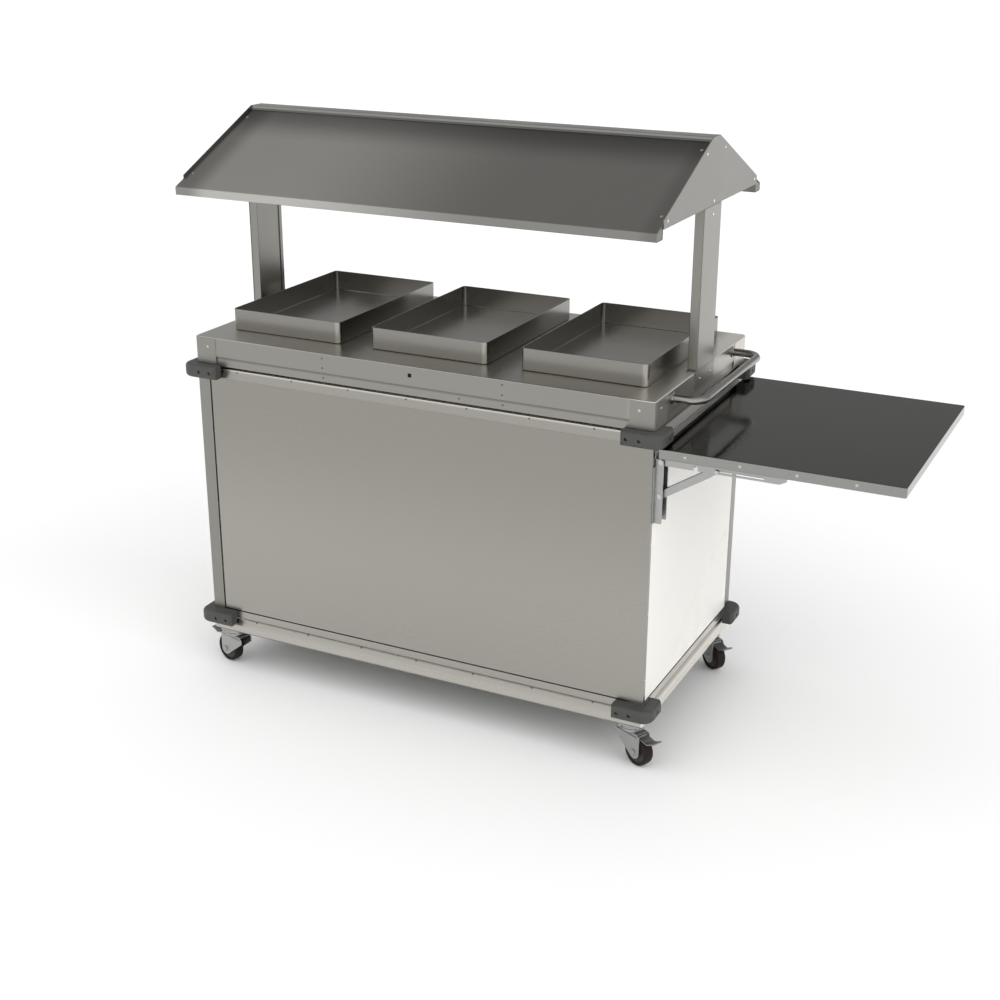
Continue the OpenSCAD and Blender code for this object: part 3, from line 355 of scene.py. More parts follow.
# Colour drifts with slow clouds, fine grain runs one way, smudges change the gloss. The band list is painted
# light:
# it paints shade as a darker band around a plane, or a highlight where the amount is below zero: (axis,
# place, width, amount). plainLook fills what isn't named
plainLook = {"metal": 1, "specular": 0.5, "spread": 0.03, "bump": 0.006, "cloud": 2.2, "wipe": 0.2,
    "paintedLight": ()}
finishLook = {
    # sheet: painted light, lighter towards the bottom of the cabinet
    "sheet": {"color": (0.288, 0.277, 0.252), "rough": (0.24, 0.31), "spread": 0.025, "grain": (9, 9, 1400),
        "bump": 0.005, "cloud": 1.4, "wipe": 0.18, "paintedLight": ((2, 0.177, 0.6, -0.25),)},
    # baseRail: painted light, lighter along its lower edge and on its right end
    "baseRail": {"color": (0.385, 0.37, 0.338), "rough": (0.24, 0.33), "grain": (9, 9, 1200), "cloud": 2,
        "paintedLight": ((2, 0.116, 0.024, -0.2), (0, midX + 0.6105, 0.0065, -0.75))},
    # rail: painted shade on its right end, painted highlights along the slanted strip and the step above it
    "rail": {"color": (0.32, 0.308, 0.28), "rough": (0.24, 0.33), "grain": (9, 9, 1200), "cloud": 2,
        "paintedLight": ((0, midX + 0.607, 0.016, 0.42), (2, 0.823, 0.014, -0.06), (2, 0.8385, 0.01, -1.1))},
    # fascia: painted highlight on its right end, painted shade along its top seam under the apron
    "fascia": {"color": (0.288, 0.28, 0.26), "rough": (0.3, 0.4), "grain": (9, 9, 1200),
        "paintedLight": ((0, midX + 0.607, 0.004, -1.1), (2, 0.865, 0.007, 0.34))},
    # counter: painted light, the top face and the right end are lighter
    "counter": {"color": (0.285, 0.276, 0.253), "rough": (0.27, 0.39), "spread": 0.04,
        "grain": (9, 900, 900), "bump": 0.008, "cloud": 2.5, "wipe": 0.25,
        "paintedLight": ((2, 0.914, 0.0025, -0.95), (0, midX + 0.61, 0.075, -0.8))},
    # cap: painted light on the right end faces, painted shade in a band where the front caps end on the end
    # faces
    "cap": {"color": (0.278, 0.269, 0.247), "rough": (0.32, 0.44), "spread": 0.04, "grain": (9, 9, 900),
        "cloud": 2.5, "wipe": 0.25, "paintedLight": ((0, midX + 0.6107, 0.0012, -1.4), (1, -0.228, 0.02, 0.25))},
    "gable": {"color": (0.278, 0.271, 0.252), "rough": (0.3, 0.4), "grain": (1200, 9, 1200)},
    # endSheet: painted highlight on the right posts' outer faces
    "endSheet": {"color": (0.265, 0.257, 0.238), "rough": (0.28, 0.38), "spread": 0.04,
        "grain": (1200, 1200, 9), "paintedLight": ((0, midX + 0.612, 0.004, -0.28),)},
    "door": {"color": (0.31, 0.3, 0.277), "rough": (0.25, 0.34), "grain": (1200, 1200, 9), "bump": 0.005,
        "cloud": 1.8},
    # roof: painted shade along the ridge and both gables, painted light over the left part of the slopes
    "roof": {"color": (0.242, 0.237, 0.222), "rough": (0.28, 0.38), "spread": 0.04, "grain": (9, 900, 900),
        "cloud": 1.6,
        "paintedLight": ((1, -0.024, 0.125, 0.44), (0, midX - 0.61, 0.095, 0.45), (0, midX - 0.61, 0.85, -0.95),
            (0, midX + 0.61, 0.05, 0.2), (1, 0.024, 0.125, 0.44))},
    "ridge": {"color": (0.27, 0.265, 0.253), "rough": (0.3, 0.42), "spread": 0.05, "grain": (9, 900, 900),
        "bump": 0.008, "cloud": 3, "wipe": 0.25},
    # shelf: painted shade, its top face is darkened
    "shelf": {"color": (0.29, 0.288, 0.272), "rough": (0.07, 0.14), "spread": 0.04,
        "grain": (1200, 9, 1200), "bump": 0.003, "cloud": 3, "wipe": 0.3,
        "paintedLight": ((2, 0.8084, 0.0022, 0.63),)},
    # pan: painted light on the floors, painted highlights at each pan's right-hand corners
    "pan": {"color": (0.259, 0.25, 0.233), "rough": (0.17, 0.27), "spread": 0.05, "grain": (1000, 9, 1000),
        "bump": 0.005, "cloud": 4, "wipe": 0.3,
        "paintedLight": ((2, 0.916, 0.0014, -0.55), (0, midX - 0.251, 0.0085, -0.45),
            (0, midX + 0.149, 0.0085, -0.45), (0, midX + 0.549, 0.0085, -0.45))},
    "tube": {"color": (0.36, 0.352, 0.335), "rough": (0.22, 0.34), "spread": 0.06, "grain": (600, 20, 600),
        "bump": 0.01, "cloud": 9, "wipe": 0.3},
    "zinc": {"color": (0.4, 0.402, 0.396), "rough": (0.3, 0.48), "spread": 0.14, "grain": 70, "bump": 0.05,
        "cloud": 26, "wipe": 0.4},
    "frameSteel": {"metal": 0.9, "color": (0.2, 0.2, 0.195), "rough": (0.4, 0.55), "spread": 0.1,
        "grain": 60, "bump": 0.06, "cloud": 6, "wipe": 0.4},
    # coat: painted shade along the top of the end panels, under the rail and shelf
    "coat": {"metal": 0, "color": (0.85, 0.832, 0.79), "rough": (0.24, 0.34), "spread": 0.012, "grain": 700,
        "bump": 0.015, "cloud": 1.5, "wipe": 0.3, "paintedLight": ((2, 0.8055, 0.014, 0.8),)},
    "bumper": {"metal": 0, "color": (0.055, 0.057, 0.053), "rough": (0.4, 0.56), "spread": 0.22,
        "specular": 0.42, "grain": 620, "bump": 0.12, "cloud": 28, "wipe": 0.5},
    "tyre": {"metal": 0, "color": (0.016, 0.0105, 0.008), "rough": (0.5, 0.72), "spread": 0.35,
        "specular": 0.22, "grain": 420, "bump": 0.15, "cloud": 30, "wipe": 0.5},
    "hub": {"metal": 0, "color": (0.035, 0.033, 0.03), "rough": (0.38, 0.52), "spread": 0.15,
        "specular": 0.35, "grain": 300, "bump": 0.06, "cloud": 30, "wipe": 0.4},
    "pedal": {"color": (0.33, 0.332, 0.328), "rough": (0.32, 0.5), "spread": 0.16, "grain": 240,
        "bump": 0.08, "cloud": 40, "wipe": 0.4},
    # head: painted highlight on the heads at the right end
    "head": {"color": (0.52, 0.515, 0.5), "rough": (0.16, 0.3), "spread": 0.07, "grain": 200, "bump": 0.03,
        "cloud": 60, "wipe": 0.3, "paintedLight": ((0, midX + 0.6115, 0.006, -0.8),)},
    "darkHead": {"color": (0.13, 0.13, 0.127), "rough": (0.3, 0.45), "spread": 0.1, "grain": 200,
        "bump": 0.03, "cloud": 60, "wipe": 0.3},
    "plug": {"metal": 0, "color": (0.008, 0.008, 0.008), "rough": (0.5, 0.7), "spread": 0.2,
        "specular": 0.15, "grain": 300, "bump": 0.05, "cloud": 40, "wipe": 0.3},
}
# "finer" is a smudge's scale against a cloud's, "span" the sum of the noises that runs from polished to dull
noiseLook = {"grainDetail": 3, "cloudDetail": 4, "smudgeDetail": 6, "finer": 5, "twist": 0.6,
    "grainShare": 0.3, "span": (0.55, 1.05), "depth": 0.0004, "bandCore": 0.3}


def makeFinish(name, look):
    k = noiseLook
    mat = bpy.data.materials.new(name)
    tree = nodeTree(mat)
    out, shader, coord, stretch = addNodes(tree, "OutputMaterial", "BsdfPrincipled", "TexCoord", "Mapping")
    grain, cloud, smudge = addNodes(tree, "TexNoise", "TexNoise", "TexNoise")
    tint, rough, mixed, wipe, bump = addNodes(tree, "Mix", "MapRange", "Math", "Math", "Bump")
    shader.inputs["Metallic"].default_value = look["metal"]
    shader.inputs["Specular IOR Level"].default_value = look["specular"]
    stretch.inputs["Scale"].default_value = np.broadcast_to(look["grain"], 3)
    for noise, scale, detail in ((grain, 1, k["grainDetail"]), (cloud, look["cloud"], k["cloudDetail"]),
                                 (smudge, look["cloud"] * k["finer"], k["smudgeDetail"])):
        noise.inputs["Scale"].default_value, noise.inputs["Detail"].default_value = scale, detail
    smudge.inputs["Distortion"].default_value = k["twist"]
    tint.data_type = "RGBA"
    for socket, share in ((6, 1 - look["spread"]), (7, 1 + look["spread"])):
        tint.inputs[socket].default_value = tuple(min(1, c * share) for c in look["color"]) + (1,)
    wipe.operation = mixed.operation = "MULTIPLY_ADD"
    wipe.inputs[1].default_value, mixed.inputs[1].default_value = look["wipe"], k["grainShare"]
    span(rough, "From", k["span"])
    span(rough, "To", look["rough"])
    bump.inputs["Strength"].default_value, bump.inputs["Distance"].default_value = look["bump"], k["depth"]
    wire(tree, (coord, "Object", stretch, 0), (coord, "Object", cloud, "Vector"),
         (coord, "Object", smudge, "Vector"), (stretch, 0, grain, "Vector"), (cloud, "Fac", tint, 0),
         (smudge, "Fac", wipe, 0), (cloud, "Fac", wipe, 2), (grain, "Fac", mixed, 0), (wipe, 0, mixed, 2),
         (mixed, 0, rough, "Value"), (grain, "Fac", bump, "Height"))
    last = tint
    if look["paintedLight"]:
        split, = addNodes(tree, "SeparateXYZ")
        wire(tree, (coord, "Object", split, 0))
    for axis, place, width, amount in look["paintedLight"]:
        # Painted shade, or a painted highlight where the amount is below zero: full within the core of the
        # band, fading to nothing at its width
        away, size, band, paintedLightMix = addNodes(tree, "Math", "Math", "MapRange", "Mix")
        away.operation, size.operation = "SUBTRACT", "ABSOLUTE"
        away.inputs[1].default_value = place
        band.interpolation_type = "SMOOTHSTEP"
        span(band, "From", (width * k["bandCore"], width))
        span(band, "To", (1 - amount, 1))
        paintedLightMix.data_type, paintedLightMix.blend_type = "RGBA", "MULTIPLY"
        paintedLightMix.inputs[0].default_value = 1
        wire(tree, (split, axis, away, 0), (away, 0, size, 0), (size, 0, band, "Value"), (last, 2, paintedLightMix, 6),
             (band, 0, paintedLightMix, 7))
        last = paintedLightMix
    wire(tree, (last, 2, shader, "Base Color"), (rough, 0, shader, "Roughness"), (bump, 0, shader, "Normal"),
         (shader, 0, out, 0))
    return mat


finish = {name: makeFinish(name, {**plainLook, **look}) for name, look in finishLook.items()}
slotFinish = {"stainless": "sheet", "coated_panel": "coat", "zinc_plate": "zinc", "frame_steel": "frameSteel",
              "bumper_rubber": "bumper", "wheel_rubber": "tyre", "pedal_grey": "pedal"}
for part in frame["record"]["subparts"]:
    obj = nodes[part["node"]]
    obj.data.materials.clear()
    obj.data.materials.append(finish[slotFinish[part["material_slot"]]])
print("stage: finishes are on the packed nodes")

# "seam" is the half width and depth of the line beside a cap, and how far in over the edge it runs
counterLook = {"half": (0.61, 0.316), "top": 0.914, "apron": 0.866, "sheet": 0.002, "hem": 0.004,
    "corner": 0.008, "capFront": 0.06, "capEnd": 0.088, "seam": (0.0009, 0.0006, 0.0032), "reach": 0.03,
    "folds": (0, 0.002, 0.0009, 0.0009, 0.003, 0)}
# A cap's sheet and the packing under its foot: (stands out, thickness, foot, top)
capLook = {"layers": ((0.0007, 0.0006, 0.8475, 0.9112), (-0.0001, 0.0028, 0.8479, 0.8655)), "bend": 0.0085}
plugLook = {"half": 0.0045, "z": 0.892, "corner": 0.001,
    "section": ((0.0045, -0.001), (0, -0.001), (0, 0.0006), (0.0008, 0.0011), (0.0045, 0.0011))}


def makeCounter():
    # Section of the folded top, from its underside out over the hem, up the apron and in over the top
    c = counterLook
    (halfX, halfY), top, foot, t = c["half"], c["top"], c["apron"], c["sheet"]
    section = roundPath([(c["reach"], top - t), (c["hem"], top - t), (c["hem"], foot), (0, foot), (0, top),
                         (c["reach"], top)], c["folds"])
    seams = (halfX - c["capFront"], halfY - c["capEnd"])
    folded = loops(halfX, halfY, c["corner"], section, alongZ, seams=(*seams, *c["seam"]))
    piece("counterTop", [folded], "counter", ("countertop",))
    # Corner caps: a sheet bent round each corner, from the foot of the fascia up to below the top's fold
    caps = []
    for sx, sy in corners:
        for out, thick, low, high in capLook["layers"]:
            x, y = sx * (halfX + out), sy * (halfY + out)
            corner = [(x, sy * seams[1]), (x, y), (sx * seams[0], y)]
            caps.append(bentSheet(corner, capLook["bend"], thick * sx * sy, low, high, alongZ, 8))
    piece("cornerCaps", caps, "cap", ("corner_caps",))
    p = plugLook
    plug = loops(p["half"], p["half"], p["corner"], p["section"], facing("y", 0, -halfY, p["z"], -1))
    piece("frontPlug", [plug], "plug")


# Each rail's line is (inset, height) from its foot up
railLook = {
    "fasciaBand": {"half": (0.607, 0.313), "bend": 0.0008, "node": "fascia_band", "look": "fascia",
        "line": ((0, 0.8425), (0, 0.8654), (0.005, 0.8654))},
    "upperRail": {"half": (0.609, 0.315), "bend": 0.0022, "node": "upper_rail", "look": "rail",
        "line": ((0, 0.812), (0, 0.814), (0.007, 0.83184), (0.007, 0.8352), (0.022, 0.8352),
            (0.022, 0.912))},
    "baseRail": {"half": (0.609, 0.315), "bend": 0.007, "node": "base_rail", "look": "baseRail",
        "line": ((-0.002, 0.114), (-0.002, 0.116), (0, 0.1302), (0.006, 0.144), (0.006, 0.1488),
            (0, 0.1554), (0, 0.174))},
}
railSheet, railCorner = 0.002, 0.004


def makeRails():
    # Each rail is a sheet bent along its line, carried round the cabinet
    for name, rail in railLook.items():
        section = sheetLoop(roundPath(rail["line"], rail["bend"]), -railSheet)
        ring = loops(*rail["half"], railCorner, section, alongZ, ring=True)
        piece(name, [ring], rail["look"], (rail["node"],))


panelLook = {"low": 0.177, "high": 0.8119, "sheet": 0.002, "bend": 0.0025, "fold": 0.012,
    "returnEdge": 0.018, "frontX": (-0.572, 0.609), "half": (0.609, 0.315), "post": 0.034,
    "postFoot": 0.174, "postSet": 0.002, "frontEdge": 0.0003, "postEdge": 0.0004}
endPanelLook = {"y": {"right": (-0.3026, 0.2806), "left": (-0.2806, 0.2806)}, "depth": 0.018, "fold": 0.003,
    "innerFold": 0.0008, "corner": 0.0015, "reach": 0.02}


def makePanels():
    p, e = panelLook, endPanelLook
    (x0, x1), (halfX, halfY), z0, z1, t = p["frontX"], p["half"], p["low"], p["high"], p["sheet"]
    # Front: one sheet, its plan line starts in the left return edge and ends in the fold round the corner
    plan = [(x0, p["returnEdge"] - halfY), (x0, -halfY), (x1, -halfY), (x1, p["fold"] - halfY)]
    hem = oblong(x0 + t, t / 2 - halfY, x1 - p["post"] - 2 * t, p["returnEdge"] - halfY)
    parts = [bentSheet(plan, p["bend"], t, z0, z1, alongZ)]
    parts += [extrude(hem, low, high, alongZ) for low, high in ((z0 + t / 2, z0 + t), (z1 - t, z1 - t / 2))]
    piece("frontPanel", parts, "sheet", ("front_panel",), edge=p["frontEdge"])
    # Ends: trays seen from outside, a flat face with edges folded back, hollow behind
    outer = roundPath([(e["reach"], 0), (0, 0), (0, -e["depth"])], e["fold"])
    inner = roundPath([(t, -e["depth"]), (t, -t), (e["reach"], -t)], e["innerFold"])
    for side, name in ((1, "right"), (-1, "left")):
        y0, y1 = e["y"][name]
        place = facing("x", side * halfX, (y0 + y1) / 2, (z0 + z1) / 2, side)
        tray = loops((y1 - y0) / 2, (z1 - z0) / 2, e["corner"], np.concatenate([outer, inner]), place)
        piece(name + "EndPanel", [tray], "coat", (name + "_end_panel",))
    # Posts: angles; the first one stands behind the front panel's fold
    posts = []
    for sx, sy in corners:
        back = p["postSet"] if (sx, sy) == corners[0] else 0
        x, y, w = halfX - back, halfY - back, p["post"]
        angle = [(sx * x, sy * (y - w)), (sx * x, sy * y), (sx * (x - w), sy * y)]
        posts.append(bentSheet(angle, p["bend"], t * sx * sy, p["postFoot"], z1, alongZ))
    piece("cornerPosts", posts, "endSheet", ("corner_posts",), edge=p["postEdge"])


# "railRows" are (shift along the rail, face, height) of screws, "foldShares" shares of the fold's height
fastenerLook = {"big": 0.0035, "small": 0.0022, "dent": 0.0005, "capFace": (0.6107, 0.3167),
    "capInset": 0.037, "capZ": 0.89, "pairX": 0.24, "pairRise": 0.012, "pairFace": 0.316, "railStep": 0.16,
    "railRows": ((0, 0.309, 0.1464), (-0.015, 0.3086, 0.8296)), "bandX": (-0.24, 0.128, 0.24),
    "bandFace": 0.313, "bandZ": 0.853, "foldPlace": (0.609, -0.309), "foldFoot": 0.177, "foldRise": 0.635,
    "foldShares": (0.093, 0.362, 0.631)}


def makeFasteners():
    f, (halfX, halfY) = fastenerLook, counterLook["half"]
    (faceX, faceY), capZ, inset, heads, screws = f["capFace"], f["capZ"], f["capInset"], [], []
    for sy in (-1, 1):
        for sx in (-1, 1):
            heads.append(dome("y", f["big"], (sx * (halfX - inset), sy * faceY, capZ), sy))
            heads.append(dome("x", f["big"], (sx * faceX, sy * (halfY - inset), capZ), sx))
            for rise in (-f["pairRise"], f["pairRise"]):
                screws.append(dome("y", f["small"], (sx * f["pairX"], sy * f["pairFace"], capZ + rise), sy))
        for i in range(-3, 4):
            for shift, face, z in f["railRows"]:
                screws.append(dome("y", f["small"], (i * f["railStep"] + shift, sy * face, z), sy, f["dent"]))
        for x in f["bandX"]:
            screws.append(dome("y", f["small"], (x, sy * f["bandFace"], f["bandZ"]), sy, f["dent"]))
    for share in f["foldShares"]:
        heads.append(dome("x", f["small"], (*f["foldPlace"], f["foldFoot"] + share * f["foldRise"])))
    headPiece("panelHeads", heads, "head", ("panel_fasteners",))
    headPiece("railScrews", screws, "darkHead")


makeCounter()
makeRails()
makePanels()
makeFasteners()
print("stage: the counter and cabinet are made")

# "groove" is its distance from the post's edge, its width and its depth
canopyLook = {"halfX": 0.61, "sheet": 0.002, "edge": 0.352, "boxDepth": 0.035, "lipFoot": 1.267,
    "ridgeHalf": 0.024, "ridgeZ": 1.441, "sheetTop": 1.433, "slope": 0.4479, "plateSlope": 0.4512,
    "gableHalf": 0.317, "gableFoot": 1.28832, "flange": 0.015, "flangeDrop": 0.0022, "boxDrop": 0.0015,
    "folds": (0, 0.002, 0.0025, 0.0022, 0.004, 0.004, 0.0022, 0.0025, 0.002, 0), "shutX": (0.6082, 0.6096),
    "capLap": 0.007, "capLift": (0.0016, 0.002), "capSheet": 0.0016,
    "capFolds": (0, 0.003, 0.0025, 0.0025, 0.003, 0), "soft": 0.0005}
postLook = {"half": 0.056, "thick": 0.022, "foot": 0.914, "top": 1.4025, "groove": (0.013, 0.006, 0.003),
    "bends": (0.002, 0.002, 0.002, 0.002, 0.0006, 0.0004, 0.0004, 0.0006), "coverGap": 0.0004,
    "strapHalf": 0.065, "strapFoot": 0.872}
headLook = {"radius": 0.0035, "gableY": (-0.296, -0.061, 0.061, 0.296), "below": 0.015, "roofX": 0.598,
    "middle": (0.01, -0.02), "strapY": (-0.035, 0.035), "strapZ": 0.893}


def roofZ(y):
    return canopyLook["sheetTop"] - (abs(y) - canopyLook["ridgeHalf"]) * canopyLook["slope"]


def makePostParts():
    # Post: a flat tube's outline with a groove along its inner face, a cover plate, a strap and a foot plate
    p, x1, t = postLook, canopyLook["halfX"], canopyLook["sheet"]
    x0, h, s, foot = x1 - p["thick"], p["half"], p["strapHalf"], p["foot"]
    edge, wide, depth = p["groove"]
    plan = roundPath([(x0, -h), (x1, -h), (x1, h), (x0, h), (x0, h - edge), (x0 + depth, h - edge),
                      (x0 + depth, h - edge - wide), (x0, h - edge - wide)], p["bends"], 4, closed=True)
    coverTop = canopyLook["gableFoot"] - p["coverGap"]
    return [extrude(plan, foot, p["top"], alongZ),
            roundPlate(-h, foot, h, coverTop, 0.001, 3, x1, x1 + t, alongX),
            roundPlate(-s, p["strapFoot"], s, foot + t, (0.006, 0.006, 0.001, 0.001), 5, x1, x1 + t, alongX),
            roundPlate(x0, -s, x1 + t / 2, s, (0.004, 0.0005, 0.0005, 0.004), 4, foot, foot + t, alongZ)]


def makeGableParts():
    # Gable: a plate cut to the roof's slope, and the flange under the roof sheet behind it
    c = canopyLook
    x1, t, g, f, r, z = c["halfX"], c["sheet"], c["gableHalf"], c["gableFoot"], c["ridgeHalf"], c["ridgeZ"]
    eaveZ = z - (g - r) * c["plateSlope"]
    plate = roundPath([(-g, f), (g, f), (g, eaveZ), (r, z), (-r, z), (-g, eaveZ)], 0.0015, 3, True)
    seat = g - c["boxDepth"] / 2
    low = roofZ(seat) - c["flangeDrop"]
    under = np.array([(-seat, low), (-r, c["sheetTop"] - t), (r, c["sheetTop"] - t), (seat, low)])
    return [extrude(plate, x1, x1 + t, alongX), extrude(sheetLoop(under, -t), x1 - c["flange"], x1, alongX)]


def makeRoof():
    # Roof: one sheet line from the front box, round the lip, up the slope and down to the rear box
    c = canopyLook
    x1, t, e, low, r, top = c["halfX"], c["sheet"], c["edge"], c["lipFoot"], c["ridgeHalf"], c["sheetTop"]
    inner = e - c["boxDepth"]
    half = [(-inner, roofZ(inner) - c["boxDrop"]), (-inner, low), (-e, low), (-e, roofZ(e)), (-r, top)]
    roof = bentSheet(half + [(-y, z) for y, z in half[::-1]], c["folds"], -t, -x1, x1, alongX)
    # A small plate shuts each end of the two boxed lips
    plate = np.array([(t - e, low + t), (t - inner, low + t), (t - inner, roofZ(inner) - 2 * t),
                      (t - e, roofZ(e) - 1.3 * t)])
    shut = [extrude(plate, *c["shutX"], alongX)]
    shut += mirrored(shut, 1, -1)
    shut += mirrored(shut, -1)
    piece("roofSheet", [roof] + shut, "roof", ("roof_sheet",))
    # Ridge cap: a low channel whose feet lie down onto both slopes
    lap, (rest, lift), z = r + c["capLap"], c["capLift"], c["ridgeZ"]
    half = [(-lap, roofZ(lap) + rest), (-r, top + lift), (-r + 0.0005, z)]
    line = half + [(-y, z) for y, z in half[::-1]]
    cap = bentSheet(line, c["capFolds"], -c["capSheet"], -x1, x1, alongX)
    piece("ridgeCap", [cap], "ridge", ("ridge_cap",))


def makeCanopyHeads():
    c, h = canopyLook, headLook
    heads, tilt = [], math.atan(c["slope"])
    for side in (1, -1):
        out = side * (c["halfX"] + c["sheet"])
        for y in h["gableY"]:
            z = c["ridgeZ"] - (abs(y) - c["ridgeHalf"]) * c["plateSlope"] - h["below"]
            heads.append(dome("x", h["radius"], (out, y, z), side))
            lean = math.copysign(tilt, -y)
            matrix = [[1, 0, 0, side * h["roofX"]], [0, math.cos(lean), -math.sin(lean), y],
                      [0, math.sin(lean), math.cos(lean), roofZ(y)]]
            heads.append(moved(dome("z", h["radius"], (0, 0, 0)), matrix))
        places = [(0, c["gableFoot"] + rise) for rise in h["middle"]]
        places += [(y, h["strapZ"]) for y in h["strapY"]]
        heads += [dome("x", h["radius"], (out, y, z), side) for y, z in places]
    headPiece("canopyHeads", heads, "head", ("canopy_rivets",))


post, gable = makePostParts(), makeGableParts()
for side, name in ((1, "right"), (-1, "left")):
    piece(name + "Post", mirrored(post, side), "endSheet", (name + "_canopy_post",), edge=canopyLook["soft"])
    piece(name + "Gable", mirrored(gable, side), "gable", (name + "_gable",), edge=canopyLook["soft"])
makeRoof()
makeCanopyHeads()

panLook = {"half": (0.156, 0.2425), "height": 0.054, "corner": 0.01, "wall": 0.002, "pitch": 0.400008,
    "back": 0.016, "foot": 0.914, "footBend": 0.004, "cove": 0.0012, "rim": 0.0007, "reach": 0.04}


def makePans():
    # Section from the underside, round the foot, up the wall, over a small rolled rim and down inside to a
    # coved floor. The rim is the arc (w / 2 - w / 2 cos t, z + q sin t) for t from 0 to 180 degrees
    p = panLook
    z0, z1, w, q = p["foot"], p["foot"] + p["height"], p["wall"], p["rim"]
    t = np.radians(np.linspace(0, 180, 7))
    roll = np.stack([w / 2 - w / 2 * np.cos(t), z1 - q + q * np.sin(t)], -1)
    outer = roundPath([(p["reach"], z0), (0, z0), roll[0]], p["footBend"])
    inner = roundPath([roll[-1], (w, z0 + w), (p["reach"], z0 + w)], p["cove"], 8)
    section = np.concatenate([outer, roll[1:-1], inner])
    for i, name in enumerate(("left", "middle", "right")):
        shell = loops(*p["half"], p["corner"], section, facing("z", (i - 1) * p["pitch"], p["back"]), 8)
        piece(name + "Pan", [shell], "pan", (name + "_pan",), name + "_pan")


makePans()
print("stage: the canopy and pans are made")

# "flange" is a (radius, height) line; the last four points climb a weld fillet round the tube
handleLook = {"radius": 0.0094, "z": 0.895, "footY": 0.212, "footX": 0.6105, "outX": 0.68, "bend": 0.04,
    "wallX": 0.61,
    "flange": ((0.014, -0.0003), (0.014, 0.0016), (0.0131, 0.0025), (0.0116, 0.0026), (0.0103, 0.0033),
        (0.0096, 0.0047), (0.0084, 0.0049))}


def makeHandle():
    # A circle carried along a D-shaped line; each flange is a turned disc
    k = handleLook
    low, high = -k["footY"], k["footY"]
    flat = barLine(k["footX"], k["outX"], low, high, k["bend"], 14)
    path = np.column_stack([flat, np.full(len(flat), k["z"])])
    piece("pushTube", [tube(path, k["radius"], (0, 0, 1), 32)], "tube", ("push_handle",))
    feet = [revolve(k["flange"], facing("x", k["wallX"], y, k["z"]), 36) for y in (low, high)]
    piece("handleFeet", feet, "tube", ("handle_flanges",))


shelfLook = {"x": (0.618, 1.16), "halfY": 0.312, "top": 0.8084, "under": 0.7844, "corner": 0.005,
    "sheet": 0.002, "reach": 0.03, "lip": 0.009,
    "folds": (0, 0.001, 0.0006, 0.0009, 0.0009, 0.0022, 0.0026, 0), "hemIn": 0.039, "hemBend": 0.0007,
    "rivetX": (0.681, 0.805, 0.93, 1.057), "rivetZ": 0.797, "rivet": 0.0035}


def makeShelf():
    # Section from inside the top, down the lip, under its small hem, up the outside and in over the top
    s = shelfLook
    (x0, x1), t, top, low, h = s["x"], s["sheet"], s["top"], s["under"], s["halfY"]
    section = roundPath([(s["reach"], top - t), (t, top - t), (t, low + t), (s["lip"], low + t),
                         (s["lip"], low), (0, low), (0, top), (s["reach"], top)], s["folds"])
    tray = loops((x1 - x0) / 2, h, s["corner"], section, facing("z", (x0 + x1) / 2), 8)
    ends = (x0 + s["corner"], x1 - s["corner"])
    hem = roundPlate(t / 2 - h, low, s["hemIn"] - h, low + t, s["hemBend"], 3, *ends, alongX)
    piece("endShelf", [tray, hem] + mirrored([hem], 1, -1), "shelf", ("end_shelf",), "end_shelf")
    heads = [dome("y", s["rivet"], (x, side * h, s["rivetZ"]), side) for x in s["rivetX"] for side in (-1, 1)]
    headPiece("shelfHeads", heads, "head", (), "end_shelf")


# "pivot" is the shelf's hinge as (x, z), and the strut's lower pivot lies a pitch below it. "slot" is
# measured from the hinge; pins and studs are (radius, head radius)
bracketLook = {"y": 0.286, "pivot": (0.621, 0.7729), "pitch": 0.08, "wallX": 0.609, "pin": (0.004, 0.0065),
    "stud": (0.0015, 0.0045), "studDrop": 0.003, "headH": 0.002}
legLook = {"foot": 0.6279, "half": 0.016, "wall": 0.0025, "flange": 0.025, "flangeDrop": 0.009,
    "headR": 0.0085, "toeR": 0.003, "soft": 0.0004}
armLook = {"half": 0.011, "wall": 0.002, "end": 0.905, "endCut": 0.016, "under": 0.7844, "below": 0.008,
    "slot": (0.128, 0.23094), "slotR": 0.0035, "slit": 0.00002, "notchR": 0.005}
strutLook = {"half": 0.008, "wall": 0.002, "long": 0.15094, "up": 32.0054, "deep": 0.0085, "endR": 0.0065,
    "taper": 0.024, "soft": 0.0004,
    "pin": ((0.0027, -0.008), (0.003, -0.0076), (0.003, 0.0076), (0.0027, 0.008))}


def rivetedPin(x, z, sizes, half, y):
    # A shaft through both walls with a domed head at each end
    r, headR = sizes
    shaft = revolve([(r, -half), (r, half)], facing("y", x, y, z), 20)
    high = bracketLook["headH"]
    return [shaft] + [dome("y", headR, (x, y + end * half, z), end, height=high) for end in (-1, 1)]


def makeLeg(y):
    # A pressed channel: two walls cut to one outline, and a flanged web
    b, k = bracketLook, legLook
    (px, pz), x0, w, foot, r, toe = b["pivot"], b["wallX"], k["half"], k["foot"], k["headR"], k["toeR"]
    x1 = x0 + k["wall"]
    wall = np.concatenate([arc(px + r - toe, foot + toe, toe, -90, 0, 4), arc(px, pz, r, 0, 125),
                           [(x1, pz + r), (x0, pz + r), (x0, foot)]])
    wide, high = k["flange"], pz - k["flangeDrop"]
    return twoWalls(wall, y, w, k["wall"]) + [
        roundPlate(y - wide, foot, y + wide, high, 0.004, 5, x0, x1, alongX),
        roundPlate(y - w, foot, y + w, pz + r, 0.002, 4, x0, x1, alongX)]


